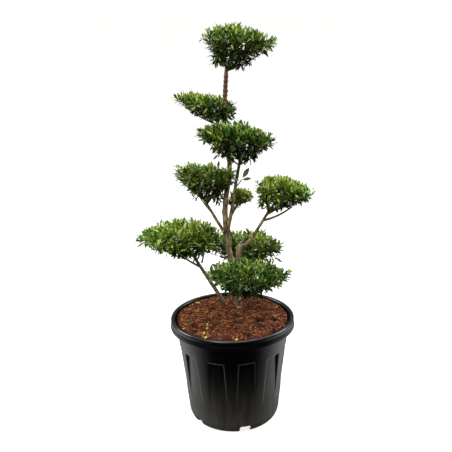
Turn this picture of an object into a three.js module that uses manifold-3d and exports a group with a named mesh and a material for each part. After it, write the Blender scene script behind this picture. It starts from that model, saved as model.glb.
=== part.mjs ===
// A Japanese holly trained as a cloud-pruned bonsai, in a black ribbed nursery pot.
// Millimetres, +Z up. The origin is on the pot's axis at its flat underside, and the front faces -Y.
// A bearing is an angle about +Z that starts at the front and grows towards +X.
import * as THREE from 'three';
import { mergeVertices } from 'three/addons/utils/BufferGeometryUtils.js';
import Module from 'manifold-3d';

const wasm = await Module();
wasm.setup();

// Pot: a moulded container of about 20 litres.
const POT_HEIGHT = 300;
const POT_SIDES = 33;
const BEAD_RADIUS = 6;
const BEAD_RING_RADIUS = 164;
const SKIRT_RADIUS = 171.5;
const SKIRT_THICKNESS = 3;
const SKIRT_BOTTOM = 273;
const WALL = 3;
const BODY_RADIUS_AT_GROUND = 123.6;
const BODY_DRAFT = 0.1134;
const CORNER_HEIGHT = 36;
const FOOT_RADIUS = 106;
const FOOT_RING_WIDTH = 3;
const CENTRE_FOOT_RADIUS = 36;
const BASE_RECESS = 12;
const RECESS_RADIUS = 119;
const RING_KNEE = [111.5, 3];
const BASE_PLATE = 4;
const CAVITY_FLOOR_RADIUS = 120;

// Eleven sunk panels under a plain collar. Their floors have less draft than the wall, so they nearly fade out,
// and they widen downwards, so the ribs between them narrow.
const PANEL_COUNT = 11;
const PANEL_WIDTH = 44;
const PANEL_FOOT_WIDTH = 52;
const PANEL_DEPTH = 7;
const PANEL_FOOT_DEPTH = 0.6;
const PANEL_TOP = 221;
const PANEL_FADE = 84;
const FIRST_PANEL_BEARING = 14;

// Drain notches in the foot, in two pairs.
const NOTCH_WIDTH = 32;
const NOTCH_HEIGHT = 23;
const NOTCH_INNER_RADIUS = 99;
const NOTCH_PAIR_BEARINGS = [-20.2, 159.8];
const NOTCH_HALF_SPREAD = 34;

// Coir soil, slightly mounded round the stems.
const SOIL_EDGE = 295;
const GROUND = 303;
const MOUND_FLAT_RADIUS = 96;

// Fits: the gap between pieces that touch, and the room that foliage leaves round limbs.
const CLEARANCE = 0.3;
const LIMB_ROOM = 4;
const JOINT_REACH = 16;
const JOINT_ROOM = 2;
const NEIGHBOUR_ROOM = 2;

const LIMB_SIDES = 6;
const LIMB_RINGS = 9;

// Limbs: a few points on the centreline, and radii at the foot and the tip.
// A bough starts on its parent's centreline. One without a parent rises from the soil.
const TRUNK = {
  name: 'trunk',
  points: [
    [20, 38, GROUND], [14, 43, 362], [-9, 42, 505], [-13, 44, 596],
    [1, 41, 706], [-8, 43, 850], [-2, 42, 954],
  ],
  foot: 8.9,
  tip: 5,
  flare: 1,
  rings: 24,
  sides: 8,
};
const BOUGHS = [
  {
    name: 'bough_low_left',
    points: [[-22, 76, GROUND], [-40, 73, 336], [-78, 48, 412], [-98, 30, 456]],
    foot: 6.2,
    tip: 4.1,
    flare: 0.6,
  },
  {
    name: 'bough_low_back',
    parent: TRUNK,
    points: [[19, 41, 330], [26, 66, 360], [42, 100, 404]],
    foot: 5,
    tip: 3.2,
  },
  {
    name: 'bough_low_front',
    parent: TRUNK,
    points: [[20, 40, 326], [27, 16, 338], [36, -10, 358]],
    foot: 5,
    tip: 3.2,
  },
  {
    name: 'bough_right',
    parent: TRUNK,
    points: [
      [14, 43, 362], [18, 33, 430], [21, 27, 472], [27, 25, 488],
      [40, 23, 496], [54, 20, 511], [73, 16, 541], [96, 12, 580],
    ],
    foot: 6.8,
    tip: 3.6,
    knuckle: { at: 0.5, width: 0.05, swell: 2.6 },
    rings: 16,
  },
  {
    name: 'bough_mid_left',
    parent: TRUNK,
    points: [[-10, 42, 514], [-39, 49, 563], [-61, 54, 602]],
    foot: 4.8,
    tip: 3.2,
  },
  {
    name: 'bough_mid_back',
    parent: TRUNK,
    points: [[-12, 43, 552], [2, 62, 566], [16, 80, 584]],
    foot: 3.6,
    tip: 2.6,
  },
  {
    name: 'bough_centre',
    parent: TRUNK,
    points: [[-10, 42, 520], [7, 30, 602], [19, 19, 680], [27, 8, 722]],
    foot: 5.6,
    tip: 3.8,
  },
  {
    name: 'bough_upper_left',
    parent: TRUNK,
    points: [[-5, 42, 762], [-15, 52, 790], [-26, 60, 818]],
    foot: 4,
    tip: 2.8,
  },
];

// Foliage: each pad is a low dome over an oval rim, fed by one stem on a bough's tip.
// heart: the rim's centre. reach: the rim's half widths in X and Y. dome: the rise of the top over the rim.
// tilt: the rim's slope along X. stray: the tip of one long shoot that escapes the clipped outline.
const PADS = [
  {
    name: 'foliage_top',
    on: 'trunk',
    heart: [30, 42, 1031],
    reach: [97, 82],
    dome: 42,
    tilt: -0.14,
    shoots: 20,
    stray: [126, 36, 1030],
  },
  {
    name: 'foliage_upper_left',
    on: 'bough_upper_left',
    heart: [-57, 60, 874],
    reach: [88, 72],
    dome: 25,
    tilt: -0.18,
    shoots: 18,
    stray: [-136, 52, 892],
  },
  {
    name: 'foliage_centre',
    on: 'bough_centre',
    heart: [18, -4, 793],
    reach: [105, 70],
    dome: 37,
    tilt: -0.11,
    shoots: 23,
    stray: [-36, 30, 754],
  },
  {
    name: 'foliage_mid_left',
    on: 'bough_mid_left',
    heart: [-64, 60, 681],
    reach: [90, 76],
    dome: 30,
    tilt: -0.1,
    shoots: 20,
    stray: [-142, 54, 688],
  },
  {
    name: 'foliage_mid_back',
    on: 'bough_mid_back',
    heart: [32, 98, 606],
    reach: [42, 42],
    dome: 26,
    tilt: 0.1,
    shoots: 8,
  },
  {
    name: 'foliage_right',
    on: 'bough_right',
    heart: [150, 10, 651],
    reach: [77, 66],
    dome: 32,
    tilt: -0.24,
    shoots: 18,
    stray: [216, 6, 640],
  },
  {
    name: 'foliage_low_left',
    on: 'bough_low_left',
    heart: [-141, 25, 519],
    reach: [121, 97],
    dome: 50,
    tilt: 0.04,
    shoots: 23,
    stray: [-248, 18, 514],
  },
  {
    name: 'foliage_low_back',
    on: 'bough_low_back',
    heart: [43, 126, 458],
    reach: [114, 82],
    dome: 43,
    tilt: -0.03,
    shoots: 19,
    stray: [138, 112, 446],
  },
  {
    name: 'foliage_low_front',
    on: 'bough_low_front',
    heart: [44, -44, 430],
    reach: [117, 80],
    dome: 43,
    tilt: -0.05,
    shoots: 23,
    stray: [148, -36, 426],
  },
];

// Each clipped pad has a smaller, lumpy core that its shoots stand out of.
// The profile has shares of the pad's reach, against levels: the stem at -1, the rim at 0 and the top at 1.
const CORE_PROFILE = [[0, -0.8], [0.36, -0.58], [0.72, 0], [0.54, 0.4], [0, 0.58]];
const CORE_SIDES = 9;
const CORE_BUMP = 0.1;
const CORE_ROOM = 2.5;

// The branching rule.
const GOLDEN_ANGLE = Math.PI * (3 - Math.sqrt(5));
const SEED = 41;
const FORK_SHARE = 0.46;
const FORK_WANDER = 0.09;
const FORK_STEP = 4;
const SIDE_SHOOT_EVERY = 3;
const SIDE_SHOOT_DROP = [0.08, 0.8];
const TIP_SHARE = 0.82;
const TIP_LEVEL = 0.78;
const SHOULDER = 3;
const FUNNEL = 0.7;
const TWIG_TIP_RADIUS = 1.3;
const TWIG_GROWTH = 0.36;
const TWIG_SIDES = 3;
const STEM_SIDES = 6;
const STEM_LENGTH = 12;
const FOOT_SHARE = 0.45;

// Leaves: fewer than life and larger, each one standing for a short spray.
const LEAF_LONGEST = 38;
const LEAF_SHORTEST = 26;
const LEAF_SHARE_OF_PAD = 0.52;
const LEAF_WIDTH_SHARE = 0.54;
const LEAF_THICKNESS_SHARE = 0.052;
const LEAVES_PER_SHOOT = 4;
const LEAF_SPACING = 7;
const LEAF_START = 4;
const LEAF_SPREAD = 0.95;
const LEAF_LIFT = 0.35;
const LEAF_LOOSE = 0.14;
const LEAF_APART = 10;
const LEAF_TRIES = 12;

const MATERIALS = {
  pot: new THREE.MeshStandardMaterial({ color: '#1d1e1d', roughness: 0.42, metalness: 0 }),
  soil: new THREE.MeshStandardMaterial({ color: '#6b3a22', roughness: 0.95, metalness: 0 }),
  bark: new THREE.MeshStandardMaterial({ color: '#84705a', roughness: 0.85, metalness: 0 }),
  leaf: new THREE.MeshStandardMaterial({ color: '#4c7427', roughness: 0.4, metalness: 0 }),
};

const UP = new THREE.Vector3(0, 0, 1);
const vector = ([x, y, z]) => new THREE.Vector3(x, y, z);
const radians = THREE.MathUtils.degToRad;

// Solids and geometry.

function toSolid(geometry) {
  const bare = geometry.clone();
  bare.deleteAttribute('normal');
  bare.deleteAttribute('uv');
  const merged = mergeVertices(bare, 1e-4);
  return new wasm.Manifold(new wasm.Mesh({
    numProp: 3,
    vertProperties: new Float32Array(merged.attributes.position.array),
    triVerts: new Uint32Array(merged.index.array),
  }));
}

function toGeometry(solid) {
  const { vertProperties, triVerts } = solid.getMesh();
  const geometry = new THREE.BufferGeometry();
  geometry.setAttribute('position', new THREE.BufferAttribute(new Float32Array(vertProperties), 3));
  geometry.setIndex(new THREE.BufferAttribute(new Uint32Array(triVerts), 1));
  geometry.computeVertexNormals();
  return geometry;
}

// Keeps the main body, without loose scraps and without the walls of a sealed hollow.
function mainBody(solid) {
  return solid.decompose().reduce((best, body) => (body.volume() > best.volume() ? body : best));
}

function join(solids) {
  return wasm.Manifold.union(solids);
}

// A turned solid from [radius, height] pairs that run up the outside.
function turned(profile) {
  const points = profile.map(([radius, height]) => new THREE.Vector2(radius, height));
  return toSolid(new THREE.LatheGeometry(points, POT_SIDES).rotateX(Math.PI / 2));
}

// A block that points out along a bearing, from an inner radius, standing between two heights.
// Its lower end may have a width of its own.
function radialBlock(bearing, width, inner, outer, low, high, footWidth = width) {
  const block = new THREE.BoxGeometry(width, outer - inner, high - low);
  const position = block.attributes.position;
  for (let i = 0; i < position.count; i++) {
    if (position.getZ(i) < 0) position.setX(i, position.getX(i) * footWidth / width);
  }
  block.translate(0, -(inner + outer) / 2, (low + high) / 2);
  return toSolid(block.rotateZ(radians(bearing)));
}

// The pot.

const bodyRadius = (z) => BODY_RADIUS_AT_GROUND + BODY_DRAFT * z;

function panelRadius(z) {
  const foot = bodyRadius(PANEL_FADE) - PANEL_FOOT_DEPTH;
  const top = bodyRadius(PANEL_TOP) - PANEL_DEPTH;
  return foot + (top - foot) * (z - PANEL_FADE) / (PANEL_TOP - PANEL_FADE);
}

// Points on an arc, which is oval when its rise differs from its radius.
function arc(centreRadius, centreHeight, radius, from, to, steps, rise = radius) {
  return Array.from({ length: steps + 1 }, (_, i) => {
    const angle = radians(from + (to - from) * i / steps);
    return [centreRadius + radius * Math.cos(angle), centreHeight + rise * Math.sin(angle)];
  });
}

const CAVITY_FLOOR = BASE_RECESS + BASE_PLATE;
const COLLAR_SHOULDER = PANEL_TOP + 6;
const GROOVE_TOP = SKIRT_BOTTOM + 13;
const BEAD_HEIGHT = POT_HEIGHT - BEAD_RADIUS;

// The inside face from the floor up to the bead, taken in by a gap for what fills it.
function cavityProfile(gap) {
  return [
    [CAVITY_FLOOR_RADIUS - gap, CAVITY_FLOOR + gap],
    [bodyRadius(CORNER_HEIGHT) - WALL - gap, CORNER_HEIGHT],
    [bodyRadius(PANEL_FADE) - WALL - gap, PANEL_FADE],
    [panelRadius(PANEL_TOP) - WALL - gap, PANEL_TOP],
    [bodyRadius(COLLAR_SHOULDER) - WALL - gap, COLLAR_SHOULDER + 4],
    [bodyRadius(SKIRT_BOTTOM) - WALL - gap, SKIRT_BOTTOM],
  ];
}

function potBlank() {
  const ringInner = FOOT_RADIUS - FOOT_RING_WIDTH;
  const cornerWidth = bodyRadius(CORNER_HEIGHT) - FOOT_RADIUS;
  const outside = [
    [0, 0], [CENTRE_FOOT_RADIUS, 0], [CENTRE_FOOT_RADIUS + 2, BASE_RECESS],
    [RECESS_RADIUS, BASE_RECESS], RING_KNEE, [ringInner, 0],
    ...arc(FOOT_RADIUS, CORNER_HEIGHT, cornerWidth, -90, 0, 4, CORNER_HEIGHT),
    [bodyRadius(SKIRT_BOTTOM), SKIRT_BOTTOM], [bodyRadius(GROOVE_TOP), GROOVE_TOP],
    [SKIRT_RADIUS - SKIRT_THICKNESS - 1, GROOVE_TOP], [SKIRT_RADIUS - SKIRT_THICKNESS, SKIRT_BOTTOM],
    [SKIRT_RADIUS, SKIRT_BOTTOM],
  ];
  const bead = arc(BEAD_RING_RADIUS, BEAD_HEIGHT, BEAD_RADIUS, -50, 200, 7);
  const inside = cavityProfile(0).reverse();
  return turned([...outside, ...bead, ...inside, [0, CAVITY_FLOOR]]);
}

function panelCuts() {
  const inner = BODY_RADIUS_AT_GROUND * 0.8;
  const blocks = Array.from({ length: PANEL_COUNT }, (_, i) => {
    const bearing = FIRST_PANEL_BEARING + i * 360 / PANEL_COUNT;
    return radialBlock(bearing, PANEL_WIDTH, inner, SKIRT_RADIUS, PANEL_FADE, PANEL_TOP, PANEL_FOOT_WIDTH);
  });
  const low = PANEL_FADE - 10;
  const high = PANEL_TOP + 10;
  const floor = turned([[0, low], [panelRadius(low), low], [panelRadius(high), high], [0, high]]);
  return join(blocks).subtract(floor);
}

function notchCuts() {
  const bearings = NOTCH_PAIR_BEARINGS.flatMap((middle) => (
    [middle - NOTCH_HALF_SPREAD, middle + NOTCH_HALF_SPREAD]
  ));
  return join(bearings.map((bearing) => (
    radialBlock(bearing, NOTCH_WIDTH, NOTCH_INNER_RADIUS, SKIRT_RADIUS, -NOTCH_HEIGHT, NOTCH_HEIGHT)
  )));
}

function pot() {
  return mainBody(potBlank().subtract(panelCuts()).subtract(notchCuts()));
}

function soil() {
  const side = cavityProfile(CLEARANCE);
  const top = [[side.at(-1)[0], SOIL_EDGE], [MOUND_FLAT_RADIUS, GROUND], [0, GROUND]];
  return turned([[0, CAVITY_FLOOR + CLEARANCE], ...side, ...top]);
}

// Limbs.

function limbCurve(limb) {
  return new THREE.CatmullRomCurve3(limb.points.map(vector), false, 'centripetal');
}

// Taper from foot to tip, with a root flare at the soil and a knuckle where a cut has healed.
function limbRadius(limb, share) {
  const taper = limb.foot + (limb.tip - limb.foot) * share;
  const flare = (limb.flare ?? 0) * Math.exp(-share * 26);
  const knuckle = limb.knuckle;
  const swell = knuckle ? knuckle.swell * Math.exp(-(((share - knuckle.at) / knuckle.width) ** 2)) : 0;
  return taper + flare + swell;
}

// A cylinder bent along the limb's curve.
function limbSolid(limb, grow = 0) {
  const rings = limb.rings ?? LIMB_RINGS;
  const curve = limbCurve(limb);
  const frames = curve.computeFrenetFrames(rings);
  const tube = new THREE.CylinderGeometry(1, 1, 1, limb.sides ?? LIMB_SIDES, rings);
  const position = tube.attributes.position;
  for (let i = 0; i < position.count; i++) {
    const ring = Math.round((position.getY(i) + 0.5) * rings);
    const share = ring / rings;
    const radius = limbRadius(limb, share) + grow;
    const place = curve.getPointAt(share)
      .addScaledVector(frames.normals[ring], position.getX(i) * radius)
      .addScaledVector(frames.binormals[ring], -position.getZ(i) * radius);
    position.setXYZ(i, place.x, place.y, place.z);
  }
  return toSolid(tube);
}

const BELOW_GROUND = toSolid(new THREE.BoxGeometry(400, 400, 200).translate(0, 0, GROUND + CLEARANCE - 100));

function trimmedLimb(limb) {
  const whole = limbSolid(limb).subtract(BELOW_GROUND);
  return mainBody(limb.parent ? whole.subtract(limbSolid(limb.parent, CLEARANCE)) : whole);
}

// Points along every limb with the radius there, for keeping foliage clear of wood.
const LIMBS = [TRUNK, ...BOUGHS];
const WOOD = LIMBS.flatMap((limb) => {
  const curve = limbCurve(limb);
  const steps = Math.ceil(curve.getLength() / 4);
  return Array.from({ length: steps + 1 }, (_, i) => ({
    limb, place: curve.getPointAt(i / steps), radius: limbRadius(limb, i / steps),
  }));
});

function clearOfWood(pad, place, room) {
  return WOOD.every((spot) => {
    const joint = spot.limb === pad.bough && spot.place.distanceTo(pad.stem) < JOINT_REACH;
    return spot.place.distanceTo(place) > spot.radius + (joint ? JOINT_ROOM : room);
  });
}

// Foliage.

function seeded(seed) {
  let state = seed >>> 0;
  return () => {
    state = (state + 0x6d2b79f5) >>> 0;
    let mixed = Math.imul(state ^ (state >>> 15), 1 | state);
    mixed = (mixed + Math.imul(mixed ^ (mixed >>> 7), 61 | mixed)) ^ mixed;
    return ((mixed ^ (mixed >>> 14)) >>> 0) / 4294967296;
  };
}

// A point of a pad, from its share of the reach, its level and its turn about the pad's middle.
// Under the rim the middle moves over to the stem.
function padPoint(pad, across, level, turn) {
  const middle = vector(pad.heart).lerp(pad.stem, Math.max(0, -level));
  const x = across * pad.reach[0] * Math.cos(turn);
  const y = across * pad.reach[1] * Math.sin(turn);
  const rise = Math.max(0, level) * pad.dome + pad.tilt * x;
  return middle.add(new THREE.Vector3(x, y, rise));
}

// The pad's own space: under the dome, and over a funnel from the stem to the rim.
function inPad(pad, place, room = 0) {
  const above = place.z - pad.heart[2] - pad.tilt * (place.x - pad.heart[0]);
  const level = above > 0 ? above / (pad.dome + room) : above / (pad.heart[2] - pad.stem.z + room);
  const middle = vector(pad.heart).lerp(pad.stem, Math.max(0, -level));
  const across = Math.hypot(
    (place.x - middle.x) / (pad.reach[0] + room),
    (place.y - middle.y) / (pad.reach[1] + room),
  );
  if (level > 0) return across ** SHOULDER + level < 1 + LEAF_LOOSE;
  return level > -1 && across < 1 + FUNNEL * level + LEAF_LOOSE;
}

function free(pad, place, room) {
  const strayed = PADS.some((other) => other !== pad && inPad(other, place, NEIGHBOUR_ROOM));
  return !strayed && clearOfWood(pad, place, room);
}

// Shoot tips: an even spiral over the dome, with every third one on the funnel's side.
function shootTips(pad, random) {
  const tips = Array.from({ length: pad.shoots }, (_, i) => {
    const turn = i * GOLDEN_ANGLE + random() * 0.4;
    if (i % SIDE_SHOOT_EVERY === SIDE_SHOOT_EVERY - 1) {
      const drop = THREE.MathUtils.lerp(...SIDE_SHOOT_DROP, random());
      return padPoint(pad, TIP_SHARE * (1 - FUNNEL * drop), -drop, turn);
    }
    const across = Math.sqrt((i + 0.5) / pad.shoots);
    return padPoint(pad, TIP_SHARE * across, TIP_LEVEL * (1 - across ** SHOULDER), turn);
  });
  return pad.stray ? [...tips, vector(pad.stray)] : tips;
}

function meanOf(points) {
  return points.reduce((sum, point) => sum.add(point), new THREE.Vector3()).divideScalar(points.length);
}

// Shares a group of tips out between up to three forks, along the way it spreads most.
function shareOut(tips) {
  const box = new THREE.Box3().setFromPoints(tips).getSize(new THREE.Vector3());
  const axis = box.x >= box.y ? 'x' : 'y';
  const sorted = [...tips].sort((a, b) => a[axis] - b[axis]);
  const parts = Math.min(3, tips.length);
  return Array.from({ length: parts }, (_, i) => (
    sorted.slice(Math.round(i * tips.length / parts), Math.round((i + 1) * tips.length / parts))
  ));
}

const twigRadius = (tipCount) => TWIG_TIP_RADIUS * tipCount ** TWIG_GROWTH;

// A rod between two points, run on a little at its foot into what it grows from.
function rod(from, to, footRadius, tipRadius, sides, sink) {
  const along = to.clone().sub(from);
  const length = along.length() + sink;
  along.normalize();
  const shape = new THREE.CylinderGeometry(tipRadius, footRadius, length, sides);
  shape.translate(0, length / 2 - sink, 0);
  shape.applyQuaternion(new THREE.Quaternion().setFromUnitVectors(new THREE.Vector3(0, 1, 0), along));
  return toSolid(shape.translate(from.x, from.y, from.z));
}

function twigStands(pad, from, to, radius) {
  return [0.4, 0.7, 1].every((share) => free(pad, from.clone().lerp(to, share), LIMB_ROOM + radius));
}

// Branches from the end of a twig to its group of tips, and lists the twigs that find room.
// The forks stand one behind the other down the twig, as side shoots do.
function branch(pad, parent, tips, random) {
  const back = parent.from.clone().sub(parent.to).normalize();
  return shareOut(tips).flatMap((group, order) => {
    const from = parent.to.clone().addScaledVector(back, order * FORK_STEP);
    const wander = FORK_SHARE + FORK_WANDER * (2 * random() - 1);
    const last = group.length === 1;
    const to = last ? group[0] : from.clone().lerp(meanOf(group), wander);
    const radius = twigRadius(group.length);
    if (!twigStands(pad, from, to, radius)) return [];
    const twig = { from, to, radius, parentRadius: twigRadius(tips.length), last };
    return last ? [twig] : [twig, ...branch(pad, twig, group, random)];
  });
}

function twigSolid(twig) {
  const sink = FOOT_SHARE * twig.parentRadius;
  const tip = twig.last ? 0 : twig.radius;
  return rod(twig.from, twig.to, Math.min(twig.radius, sink), tip, TWIG_SIDES, sink);
}

// A flat eight-faced leaf that lies along a direction, with its face turned as far up as it can.
function leaf(root, along, length) {
  const side = new THREE.Vector3().crossVectors(along, UP).normalize();
  const face = new THREE.Vector3().crossVectors(side, along).normalize();
  const middle = root.clone().addScaledVector(along, length / 2);
  const shape = new THREE.OctahedronGeometry(1);
  shape.scale(length * LEAF_WIDTH_SHARE / 2, length / 2, length * LEAF_THICKNESS_SHARE / 2);
  shape.applyMatrix4(new THREE.Matrix4().makeBasis(side, along, face).setPosition(middle));
  return toSolid(shape);
}

const pointsBetween = (from, to, shares) => shares.map((share) => from.clone().lerp(to, share));

// A leaf keeps to its pad, clear of limbs, of other shoots' twigs and of other leaves.
function leafStands(pad, twig, line, twigs, leaves) {
  const held = !(pad.stray && twig.to.distanceTo(vector(pad.stray)) < 1);
  const halfWidth = pad.leafLength * LEAF_WIDTH_SHARE / 2;
  const away = (spots, room) => spots.every((spot) => line.every((place) => place.distanceTo(spot) > room));
  const clear = line.every((place, i) => (
    (!held || inPad(pad, place)) && free(pad, place, LIMB_ROOM + halfWidth * (i < 2 ? 1 : 0.3))
  ));
  const offTwig = (other) => away(pointsBetween(other.from, other.to, [0.4, 0.7, 1]), LEAF_APART / 2);
  return clear
    && leaves.every((other) => away(other.line, LEAF_APART))
    && twigs.every((other) => other === twig || offTwig(other));
}

// The leaves of one shoot, in a spiral down from its tip.
// A leaf without room is turned, and at last left out.
function leavesOf(pad, twig, twigs, leaves, random) {
  const axis = twig.to.clone().sub(twig.from);
  const count = Math.min(LEAVES_PER_SHOOT, Math.floor((axis.length() - LEAF_START) / LEAF_SPACING) + 1);
  const across = new THREE.Vector3().crossVectors(axis.normalize(), UP).normalize();
  for (let i = 0; i < count; i++) {
    const root = twig.to.clone().addScaledVector(axis, -LEAF_START - i * LEAF_SPACING);
    for (let attempt = 0; attempt < LEAF_TRIES; attempt++) {
      const turn = (i + attempt / LEAF_TRIES) * GOLDEN_ANGLE + random();
      const outward = across.clone().applyAxisAngle(axis, turn);
      const spread = LEAF_SPREAD * (i === 0 ? 0.6 : 1) * (0.85 + 0.3 * random());
      const along = axis.clone().multiplyScalar(Math.cos(spread))
        .addScaledVector(outward, Math.sin(spread))
        .addScaledVector(UP, LEAF_LIFT * random())
        .normalize();
      const tip = root.clone().addScaledVector(along, pad.leafLength);
      const line = pointsBetween(root, tip, [0.35, 0.6, 0.8, 1]);
      if (leafStands(pad, twig, line, twigs, leaves)) {
        leaves.push({ root, along, line });
        break;
      }
    }
  }
}

// The dense middle of a pad, cut clear of the limbs that pass through it.
function core(pad, random) {
  const profile = CORE_PROFILE.map(([share, level]) => new THREE.Vector2(share, level));
  const blank = new THREE.LatheGeometry(profile, CORE_SIDES).rotateX(Math.PI / 2);
  blank.deleteAttribute('normal');
  blank.deleteAttribute('uv');
  const shape = mergeVertices(blank, 1e-4);
  const position = shape.attributes.position;
  for (let i = 0; i < position.count; i++) {
    const [x, y, level] = [position.getX(i), position.getY(i), position.getZ(i)];
    const lump = 1 + CORE_BUMP * (2 * random() - 1);
    const spot = padPoint(pad, Math.hypot(x, y) * lump, level * lump, Math.atan2(y, x));
    position.setXYZ(i, spot.x, spot.y, spot.z);
  }
  const passing = LIMBS.filter((limb) => WOOD.some((spot) => spot.limb === limb && inPad(pad, spot.place)));
  return passing.reduce((solid, limb) => solid.subtract(limbSolid(limb, CORE_ROOM)), toSolid(shape));
}

// One pad: the stem that takes over from its bough, then everything that grows from it.
function foliage(pad, number) {
  const random = seeded(SEED + number);
  const tips = shootTips(pad, random);
  const fork = pad.stem.clone().addScaledVector(pad.heading, STEM_LENGTH);
  const stem = rod(pad.stem, fork, pad.bough.tip, twigRadius(tips.length), STEM_SIDES, 0);
  const twigs = branch(pad, { from: pad.stem, to: fork }, tips, random);
  const leaves = [];
  twigs.filter((twig) => twig.last).forEach((twig) => leavesOf(pad, twig, twigs, leaves, random));
  return mainBody(join([
    stem,
    core(pad, random),
    ...twigs.map(twigSolid),
    ...leaves.map(({ root, along }) => leaf(root, along, pad.leafLength)),
  ]));
}

for (const pad of PADS) {
  pad.bough = LIMBS.find((limb) => limb.name === pad.on);
  const fitted = LEAF_SHARE_OF_PAD * Math.min(...pad.reach);
  pad.leafLength = THREE.MathUtils.clamp(fitted, LEAF_SHORTEST, LEAF_LONGEST);
  const curve = limbCurve(pad.bough);
  pad.heading = curve.getTangentAt(1);
  pad.stem = curve.getPointAt(1).addScaledVector(pad.heading, CLEARANCE);
}

// The assembly.

const plant = new THREE.Group();
plant.name = 'potted_japanese_holly_bonsai';

function place(name, solid, material) {
  const mesh = new THREE.Mesh(toGeometry(solid), material);
  mesh.name = name;
  plant.add(mesh);
}

place('pot', pot(), MATERIALS.pot);
place('soil', soil(), MATERIALS.soil);
LIMBS.forEach((limb) => place(limb.name, trimmedLimb(limb), MATERIALS.bark));
PADS.forEach((pad, number) => place(pad.name, foliage(pad, number), MATERIALS.leaf));

export default plant;
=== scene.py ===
"""A cloud-pruned Japanese holly in a black nursery pot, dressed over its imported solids.

Metres, +Z up. The origin is on the pot's axis at its flat underside, and the front faces -Y.
A bearing is an angle about +Z that starts at the front and grows towards +X.
"""

import math

import bpy
import numpy as np
from bpy.props import FloatProperty, FloatVectorProperty, IntProperty, PointerProperty
from mathutils import Matrix, Quaternion, Vector, kdtree, noise


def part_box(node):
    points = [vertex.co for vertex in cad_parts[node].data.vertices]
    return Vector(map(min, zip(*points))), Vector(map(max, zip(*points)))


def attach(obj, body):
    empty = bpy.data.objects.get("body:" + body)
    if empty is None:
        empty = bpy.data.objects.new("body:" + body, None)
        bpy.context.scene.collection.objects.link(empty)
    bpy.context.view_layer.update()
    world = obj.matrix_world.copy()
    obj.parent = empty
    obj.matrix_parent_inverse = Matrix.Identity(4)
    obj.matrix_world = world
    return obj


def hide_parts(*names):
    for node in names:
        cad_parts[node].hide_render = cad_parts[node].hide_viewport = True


bl_info = {
    "name": "Potted Holly Bonsai",
    "version": (1, 0, 0),
    "blender": (4, 5, 0),
    "location": "3D View > Sidebar > Bonsai",
    "description": "Builds a cloud-pruned holly in a black nursery pot over its frame",
    "category": "Object",
}

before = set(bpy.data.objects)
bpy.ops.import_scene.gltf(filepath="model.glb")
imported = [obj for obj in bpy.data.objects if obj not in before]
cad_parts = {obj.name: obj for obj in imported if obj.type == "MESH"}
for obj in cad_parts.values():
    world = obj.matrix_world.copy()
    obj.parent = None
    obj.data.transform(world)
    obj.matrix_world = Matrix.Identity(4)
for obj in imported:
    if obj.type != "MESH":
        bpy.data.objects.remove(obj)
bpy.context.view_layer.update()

MM = 0.001
UP = Vector((0, 0, 1))
GOLDEN_ANGLE = math.pi * (3 - math.sqrt(5))

# Seeds of the random draws.
SOIL_SEED = 41
LIMB_SEED = 42
FIRST_PAD_SEED = 51

# The pot's shape, as in the source.
POT_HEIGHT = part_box("pot")[1].z
BEAD_RING_RADIUS = 0.164
SKIRT_RADIUS = 0.1715
SKIRT_THICKNESS = 0.003
SKIRT_BOTTOM = 0.273
GROOVE_TOP = 0.286
WALL = 0.003
BODY_RADIUS_AT_GROUND = 0.1236
BODY_DRAFT = 0.1134
CORNER_HEIGHT = 0.036
FOOT_RADIUS = 0.106
FOOT_RING_WIDTH = 0.003
CENTRE_FOOT_RADIUS = 0.036
BASE_RECESS = 0.012
RECESS_RADIUS = 0.119
RING_KNEE = (0.1115, 0.003)
CAVITY_FLOOR = 0.016
CAVITY_FLOOR_RADIUS = 0.120
PANEL_TOP = 0.221
PANEL_FADE = 0.084
FIRST_PANEL_BEARING = 14
NOTCH_WIDTH = 0.032
NOTCH_HEIGHT = 0.023
NOTCH_INNER_RADIUS = 0.099
NOTCH_ROUND = 0.005
NOTCH_BEARINGS = (-54.2, 13.8, 125.8, 193.8)

# The soil's shape, and what lies on it. HOLES are places across the soil and half widths, CHIPS and
# LEAF_BITS places, all in millimetres.
SOIL_EDGE = 0.295
GROUND = 0.303
SOIL_RADIUS = 0.1518
MOUND_FLAT_RADIUS = 0.096
HOLES = [(75, -47, 10), (68, -42, 7), (113, -36, 8), (143, -48, 6), (109, -99, 7), (72, 77, 7),
         (-57, 41, 6), (-72, 63, 5), (-101, -63, 8), (-20, 118, 6), (40, -126, 6), (-118, 18, 6)]
CHIPS = [(-73, 14), (-59, -27), (74, -59), (138, -69), (65, 42), (-78, -108), (-70, 22), (52, 60),
         (-96, 40)]
LEAF_BITS = [(-68, -78), (-64, -84), (-67, -126), (-74, -118), (-98, -70), (13, -146), (-127, -72),
             (-108, 88)]

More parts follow.
